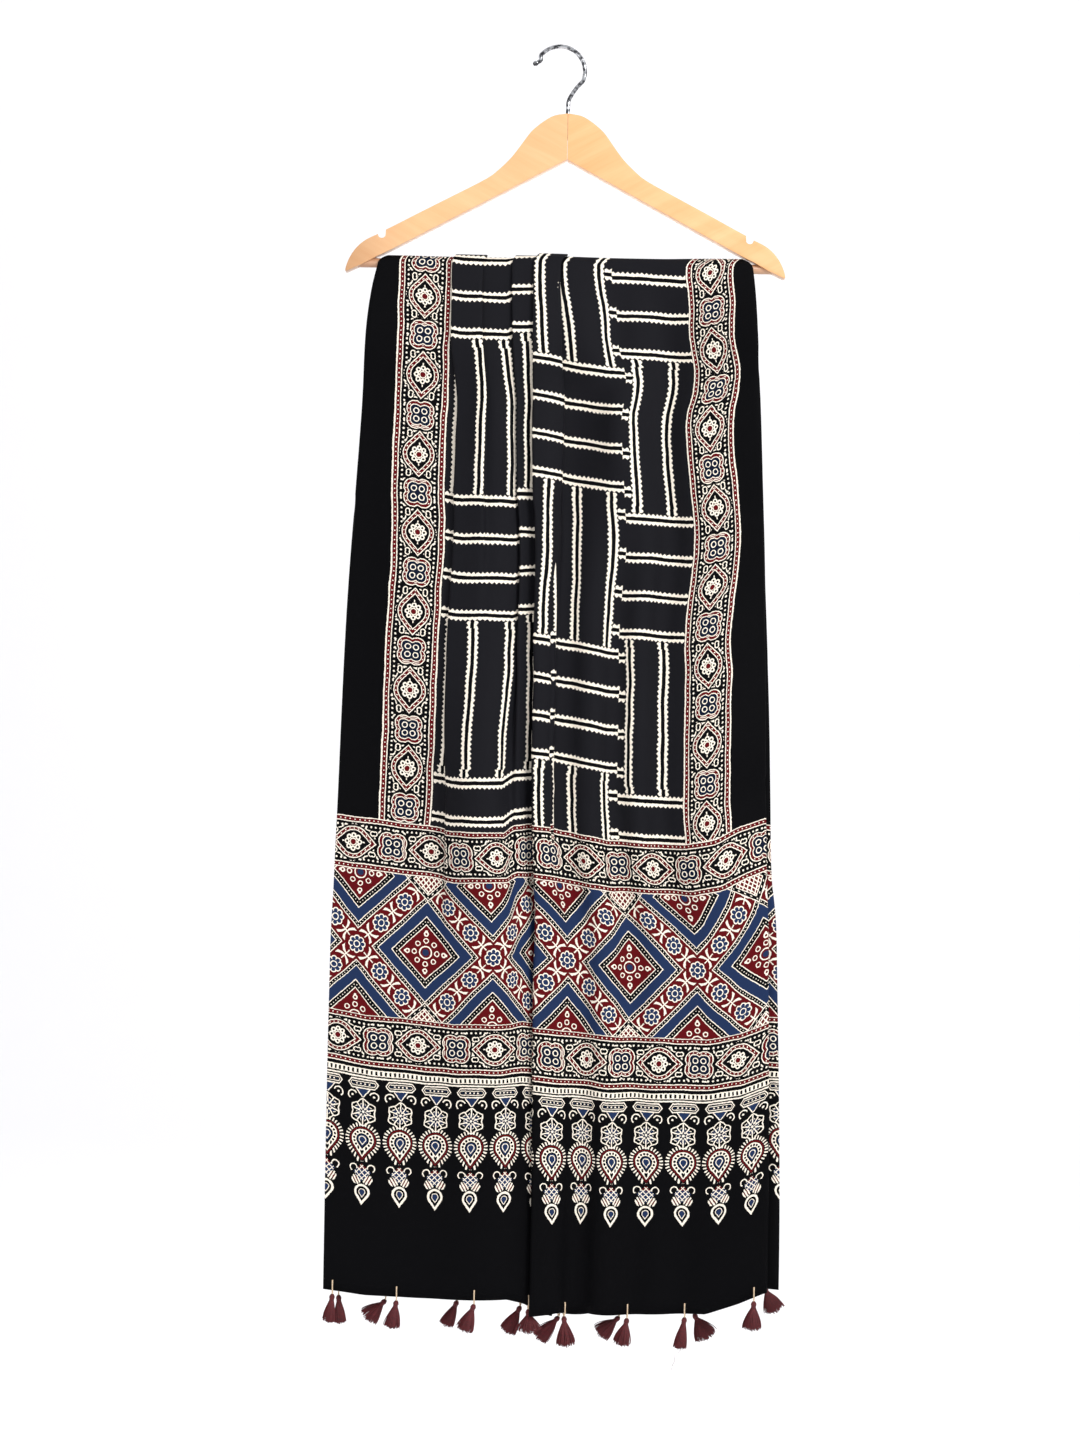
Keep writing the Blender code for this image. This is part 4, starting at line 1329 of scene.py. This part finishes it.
@dataclass
class TasselMaker:
    """Winds the cords and tassels that hang from both hems."""

    front: tuple = (
        TasselPlace(9, -7, 0.8), TasselPlace(70, -10, 1.0), TasselPlace(145, -20, 1.1, 1.05),
        TasselPlace(198, 2, 1.6, 0.85), TasselPlace(286, 4, 1.2, 1.1), TasselPlace(351, -12, 1.1),
        TasselPlace(406, -9, 0.8, 1.15, 3), TasselPlace(472, -4, 1.25, 1.05),
    )
    back: tuple = (
        TasselPlace(14, 3, 0.8), TasselPlace(59, -46, 1.35), TasselPlace(128, -24, 0.95),
        TasselPlace(190, -26, 1.1, 1.1), TasselPlace(280, -42, 1.15, 1.15), TasselPlace(344, -48, 1.25),
        TasselPlace(417, 30, 1.45, 1.05), TasselPlace(556, 26, 1.3),
    )
    cord_radius: float = 0.75
    cord_up: float = 10.0
    cord_drop: float = 3.4
    gap: float = 0.2
    head_radius: float = 2.7
    head_height: float = 5.2
    strands: int = 120
    strand_length: float = 22.0
    strand_radius: float = 0.5
    skirt: float = 7.8

    def cord(self, name: str, place: tuple[Vector, Vector, Vector], mat: bpy.types.Material) -> Vector:
        """A twisted cord clipped round the hem.

        Args:
            name: The cord's node.
            place: Point on the hem, way up the cloth and way out of it.
            mat: The cord's material.

        Returns:
            The lowest point of the cord.
        """
        low, up, outward = place
        clear = 0.6 + 0.3 + self.cord_radius
        bottom = low - up * self.cord_drop
        route = [low + up * self.cord_up + outward * (clear - 0.7), low + up * 8.6 + outward * clear,
                 low + up * 4.0 + outward * clear, low - up * 1.0 + outward * clear * 0.85, bottom,
                 low - up * 1.0 - outward * clear * 0.85, low + up * 4.0 - outward * clear,
                 low + up * 8.6 - outward * clear, low + up * self.cord_up - outward * (clear - 0.7)]
        path = smooth_points(route, 6)
        radii = [self.cord_radius] * len(path)
        radii[0] = radii[-1] = self.cord_radius * 0.6
        bm = bmesh.new()
        sweep(bm, path, radii, 10, up.cross(outward), twist=1.9, lobes=0.3)
        dress(bm, "twisted_" + name, mat, name, BODY, 60.0)
        return bottom

    def tassel(self, name: str, hang: Vector, place: TasselPlace, mat: bpy.types.Material) -> None:
        """A wound head and its skirt of strands.

        Args:
            name: The tassel's node.
            hang: The lowest point of its cord.
            place: How it falls.
            mat: The yarn.
        """
        chance = random.Random(name)
        swing = Matrix.Rotation(math.radians(-place.lean), 3, "Y")
        crown = hang - Vector((0.0, 0.0, 0.5))
        bm = bmesh.new()
        profile = [(0.0, 0.6), (1.1, 0.5), (1.9, -0.4), (2.5, -1.6), (self.head_radius, -2.8), (2.5, -3.7),
                   (2.1, -4.1), (2.45, -4.5), (2.5, -5.0), (2.1, -5.4), (1.9, -6.2), (0.0, -6.4)]
        verts = [bm.verts.new(crown + swing @ Vector((r, 0.0, z))) for r, z in profile]
        edges = [bm.edges.new(pair) for pair in zip(verts, verts[1:])]
        bmesh.ops.spin(bm, geom=verts + edges, cent=crown, axis=swing @ Vector((0, 0, 1)),
                       angle=2 * math.pi, steps=16, use_merge=True)
        bmesh.ops.remove_doubles(bm, verts=bm.verts, dist=0.001)
        for k in range(self.strands + place.loose):
            loose = k >= self.strands
            turn = 2.399963 * k
            share = math.sqrt((k % self.strands + 0.5) / self.strands)
            length = self.strand_length * place.length * (1.0 + chance.uniform(-0.07, 0.05))
            spread = self.skirt * place.spread * share * (1.0 + chance.uniform(-0.12, 0.12))
            curl = chance.uniform(-0.7, 0.7)
            twist = chance.uniform(0.0, 6.28)
            if loose:
                length, curl = self.strand_length * 2.1, 9.0
            steps = 14 if loose else 6
            path = []
            for step in range(steps + 1):
                down = step / steps
                out = 1.7 * share + (spread - 1.7 * share) * (1 - (1 - down) ** 1.7)
                wave = curl * 0.5 * down * math.sin(twist + down * 6.0)
                path.append(crown + swing @ Vector((
                    out * math.cos(turn) + wave, out * math.sin(turn) * 0.62 + wave * 0.6,
                    -self.head_height + 0.3 - (length - 1.5 * spread * down * 0.25) * down)))
            radii = [self.strand_radius * (0.3 if loose else 1.0) * (1.0 - 0.25 * s / steps)
                     for s in range(steps + 1)]
            sweep(bm, path, radii, 3, Vector((0.3, 1.0, 0.1)))
        dress(bm, "wound_" + name, mat, name, BODY, 60.0)

    def build(self, stole: Stole, cord_mat: bpy.types.Material, yarn_mat: bpy.types.Material) -> None:
        """Hangs every tassel.

        Args:
            stole: The cloth that they hang from.
            cord_mat: Material of the cords.
            yarn_mat: Material of the tassels.
        """
        for face, places in ((Face.FRONT, self.front), (Face.BACK, self.back)):
            for number, place in enumerate(places, start=1):
                node = f"{face.name.lower()}_{number}"
                spot = stole.hem_place(place.thread, face)
                hang = self.cord("cord_" + node, spot, cord_mat)
                self.tassel("tassel_" + node, hang, place, yarn_mat)


# Hanger

@dataclass
class Hanger:
    """The two wooden arms, the trouser bar and the wire hook."""

    thickness: float = 14.0
    edge_round: float = 2.6
    top: tuple = ((0.0, 0.0), (12.6, 2.1), (22.4, 7.5), (32.0, 15.2), (37.4, 21.3), (45.7, 33.0),
                  (53.9, 43.6), (64.8, 54.4), (76.2, 63.2), (105.0, 78.6), (136.0, 94.8),
                  (160.0, 107.6), (171.2, 113.4))
    end: tuple = ((178.6, 117.6), (185.8, 120.9), (192.2, 124.7), (198.2, 130.0), (203.1, 136.4),
                  (206.7, 143.4), (208.8, 149.6), (209.2, 152.8))
    bottom: tuple = ((207.6, 153.0), (193.5, 146.5), (179.0, 138.4), (171.4, 134.9), (80.0, 86.3),
                     (0.0, 43.7))
    notch: tuple = (175.0, 116.0, 3.9)
    wire_radius: float = 2.0
    ring_radius: float = 23.8
    ring_across: float = -8.3
    ring_up: float = 41.3
    shank_depth: float = 24.0

    def outline(self) -> list[tuple[float, float]]:
        """The arm's outline, finer than its table."""
        across, down, radius = self.notch
        notch = []
        for step in range(13):
            turn = math.radians(208.0 + 12.0 * step)
            notch.append((across + radius * math.cos(turn), down + 1.4 - radius * math.sin(turn)))
        flat = [Vector((x, y, 0.0)) for x, y in self.top]
        upper = [(p.x, p.y) for p in smooth_points(flat, 3)]
        ending = [(p.x, p.y) for p in smooth_points([Vector((x, y, 0.0)) for x, y in self.end], 2)]
        return upper + notch + ending + list(self.bottom)

    def arm(self, side: int, node: str, mat: bpy.types.Material) -> None:
        """One half of the hanger.

        Args:
            side: 1 on the right and -1 on the left.
            node: The node that it stands for.
            mat: Its wood.
        """
        bm = bmesh.new()
        ring = [bm.verts.new((side * max(x, 0.15), -self.thickness / 2, -y)) for x, y in self.outline()]
        face = bm.faces.new(ring)
        pushed = bmesh.ops.extrude_face_region(bm, geom=[face])
        moved = [g for g in pushed["geom"] if isinstance(g, bmesh.types.BMVert)]
        bmesh.ops.translate(bm, verts=moved, vec=(0.0, self.thickness, 0.0))
        across, down, _ = self.notch
        rounded = []
        for edge in bm.edges:
            ends = [v.co for v in edge.verts]
            flat = abs(ends[0].y - ends[1].y) < 0.01
            at_joint = all(abs(p.x) < 0.3 for p in ends)
            in_notch = all(math.hypot(abs(p.x) - across, -p.z - down) < 6.4 for p in ends)
            if flat and not at_joint and not in_notch:
                rounded.append(edge)
        bmesh.ops.bevel(bm, geom=rounded, offset=self.edge_round, segments=4, profile=0.5,
                        affect="EDGES", material=-1, clamp_overlap=True)
        dress(bm, "planed_" + node, mat, node, BODY, 30.0)

    def bar(self, mat: bpy.types.Material) -> None:
        """The round trouser bar."""
        bm = bmesh.new()
        place = Matrix.Translation((0.0, 0.0, -BAR_DOWN)) @ Matrix.Rotation(math.pi / 2, 4, "Y")
        bmesh.ops.create_cone(bm, cap_ends=True, segments=40, radius1=BAR_RADIUS, radius2=BAR_RADIUS,
                              depth=2 * BAR_HALF, matrix=place)
        rims = [e for e in bm.edges if abs(abs(e.verts[0].co.x) - BAR_HALF) < 0.01
                and abs(e.verts[0].co.x - e.verts[1].co.x) < 0.01]
        bmesh.ops.bevel(bm, geom=rims, offset=0.6, segments=2, profile=0.5, affect="EDGES", material=-1)
        dress(bm, "turned_bar", mat, "trouser_bar", BODY, 40.0)

    def hook(self, mat: bpy.types.Material) -> None:
        """The bent wire with its rounded tip."""
        points = [(0.0, 0.0, -self.shank_depth), (0.0, 0.0, -12.0), (0.0, 0.0, 0.0), (0.0, 0.0, 8.0),
                  (0.6, 0.0, 13.6), (3.4, 0.0, 19.4), (8.4, 0.0, 26.6)]
        for degrees in range(-20, 141, 20):
            turn = math.radians(degrees)
            points.append((self.ring_across + self.ring_radius * math.cos(turn), 0.0,
                           self.ring_up + self.ring_radius * math.sin(turn)))
        points += [(-26.8, 0.0, 51.8), (-29.8, 0.0, 49.6)]
        path = smooth_points(points, 8)
        radii = [self.wire_radius] * len(path)
        tip = path[-1]
        ahead = (path[-1] - path[-2]).normalized()
        for along, radius in ((0.3, 2.05), (0.8, 2.35), (1.5, 2.5), (2.4, 2.55), (3.3, 2.4), (4.1, 1.9),
                              (4.6, 1.2), (4.8, 0.5)):
            path.append(tip + along * ahead)
            radii.append(radius)
        bm = bmesh.new()
        sweep(bm, path, radii, 20, Vector((0.0, 1.0, 0.0)))
        dress(bm, "bent_hook", mat, "hook", "hook", 50.0)

    def build(self) -> None:
        """Makes the whole hanger."""
        # Only the left arm gets painted shade towards its tip; the right arm has none.
        left = WoodFinish("beech_left", linear(238, 190, 141), linear(226, 170, 118), slope=-28.0, painted_tip_shade=0.45)
        right = WoodFinish("beech_right", linear(240, 188, 136), linear(226, 166, 110), slope=28.0)
        bar = WoodFinish("bar_beech", linear(214, 172, 137), linear(176, 122, 90))
        self.arm(-1, "arm_left", left.build())
        self.arm(1, "arm_right", right.build())
        self.bar(bar.build())
        self.hook(ChromeFinish().build())


# Studio

@dataclass
class Studio:
    """The camera, the lights, the pale floor and the far backdrop."""

    distance: float = 2.75
    centre_x: float = -0.0083
    centre_z: float = -0.6401
    frame_height: float = 1.3723
    roll: float = 1.0
    floor: float = -1.9
    depth: float = 6.4

    def camera(self) -> None:
        """Sets the camera at the photograph's place."""
        data = bpy.data.cameras.new("camera")
        data.sensor_width = 36.0
        data.lens = 36.0 * self.distance / self.frame_height
        data.clip_end = 60.0
        camera = bpy.data.objects.new("camera", data)
        bpy.context.collection.objects.link(camera)
        turn = Matrix.Rotation(math.radians(90.0), 4, "X") @ Matrix.Rotation(math.radians(self.roll), 4, "Z")
        camera.matrix_world = Matrix.Translation((self.centre_x, -self.distance, self.centre_z)) @ turn
        bpy.context.scene.camera = camera

    def backdrop(self) -> None:
        """A floor that sweeps up into a far backdrop."""
        bm = bmesh.new()
        sweep_size = 3.4
        profile = [(-7.0, self.floor), (self.depth - sweep_size, self.floor)]
        for step in range(1, 17):
            turn = math.pi / 2 * step / 16
            profile.append((self.depth + sweep_size * (math.sin(turn) - 1.0),
                            self.floor + sweep_size * (1 - math.cos(turn))))
        profile.append((self.depth, 5.0))
        verts = [bm.verts.new((-9.0, y, z)) for y, z in profile]
        edges = [bm.edges.new(pair) for pair in zip(verts, verts[1:])]
        pushed = bmesh.ops.extrude_edge_only(bm, edges=edges)["geom"]
        moved = [g for g in pushed if isinstance(g, bmesh.types.BMVert)]
        bmesh.ops.translate(bm, verts=moved, vec=(18.0, 0.0, 0.0))
        bmesh.ops.recalc_face_normals(bm, faces=bm.faces)
        mesh = bpy.data.meshes.new("pale_floor")
        bm.to_mesh(mesh)
        bm.free()
        mesh.shade_smooth()
        mat = bpy.data.materials.new("pale_paper")
        mat.use_nodes = True
        shader = mat.node_tree.nodes["Principled BSDF"]
        shader.inputs["Base Color"].default_value = linear(250, 249, 250)
        shader.inputs["Roughness"].default_value = 0.9
        mesh.materials.append(mat)
        floor = bpy.data.objects.new("pale_floor", mesh)
        bpy.context.collection.objects.link(floor)

    def light(self, name: str, place: tuple, target: tuple, size: float, power: float) -> None:
        """Adds a soft square light.

        Args:
            name: Its name.
            place: Where it stands.
            target: What it points at.
            size: Its side.
            power: Its power in watts.
        """
        data = bpy.data.lights.new(name, "AREA")
        data.size = size
        data.energy = power
        lamp = bpy.data.objects.new(name, data)
        bpy.context.collection.objects.link(lamp)
        lamp.location = place
        lamp.rotation_euler = (Vector(target) - Vector(place)).to_track_quat("-Z", "Y").to_euler()

    def build(self) -> None:
        """Sets up the whole studio."""
        self.camera()
        self.backdrop()
        middle = (0.0, 0.0, -0.6)
        self.light("key_light", (1.9, -2.2, 0.9), middle, 1.2, 78.0)
        self.light("fill_light", (-2.3, -2.6, -0.2), middle, 2.4, 20.0)
        self.light("back_fill", (0.6, 3.0, 0.6), middle, 2.2, 30.0)
        self.light("backdrop_light", (0.6, 2.0, 3.4), (0.2, 6.4, 0.6), 3.0, 80.0)
        world = bpy.data.worlds.new("pale_world")
        world.use_nodes = True
        sky = world.node_tree.nodes["Background"]
        sky.inputs["Color"].default_value = (0.97, 0.98, 1.0, 1.0)
        sky.inputs["Strength"].default_value = 0.72
        bpy.context.scene.world = world
        bpy.context.scene.view_settings.view_transform = "Standard"


def main() -> None:
    """Builds the stole, its tassels, the hanger and the studio."""
    logging.basicConfig(level=logging.INFO, format="%(message)s")
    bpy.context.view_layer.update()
    Studio().build()
    Hanger().build()
    stole = Stole()
    stole.build(AjrakhFinish().build())
    cord_yarn = YarnFinish("cream_cord_yarn", linear(240, 220, 190), linear(196, 160, 122), 1400.0, 0.2)
    tassel_yarn = YarnFinish("maroon_tassel_yarn", linear(104, 9, 20), linear(52, 3, 10), 900.0, 0.08)
    TasselMaker().build(stole, cord_yarn.build(), tassel_yarn.build())


if __name__ == "__main__":
    main()
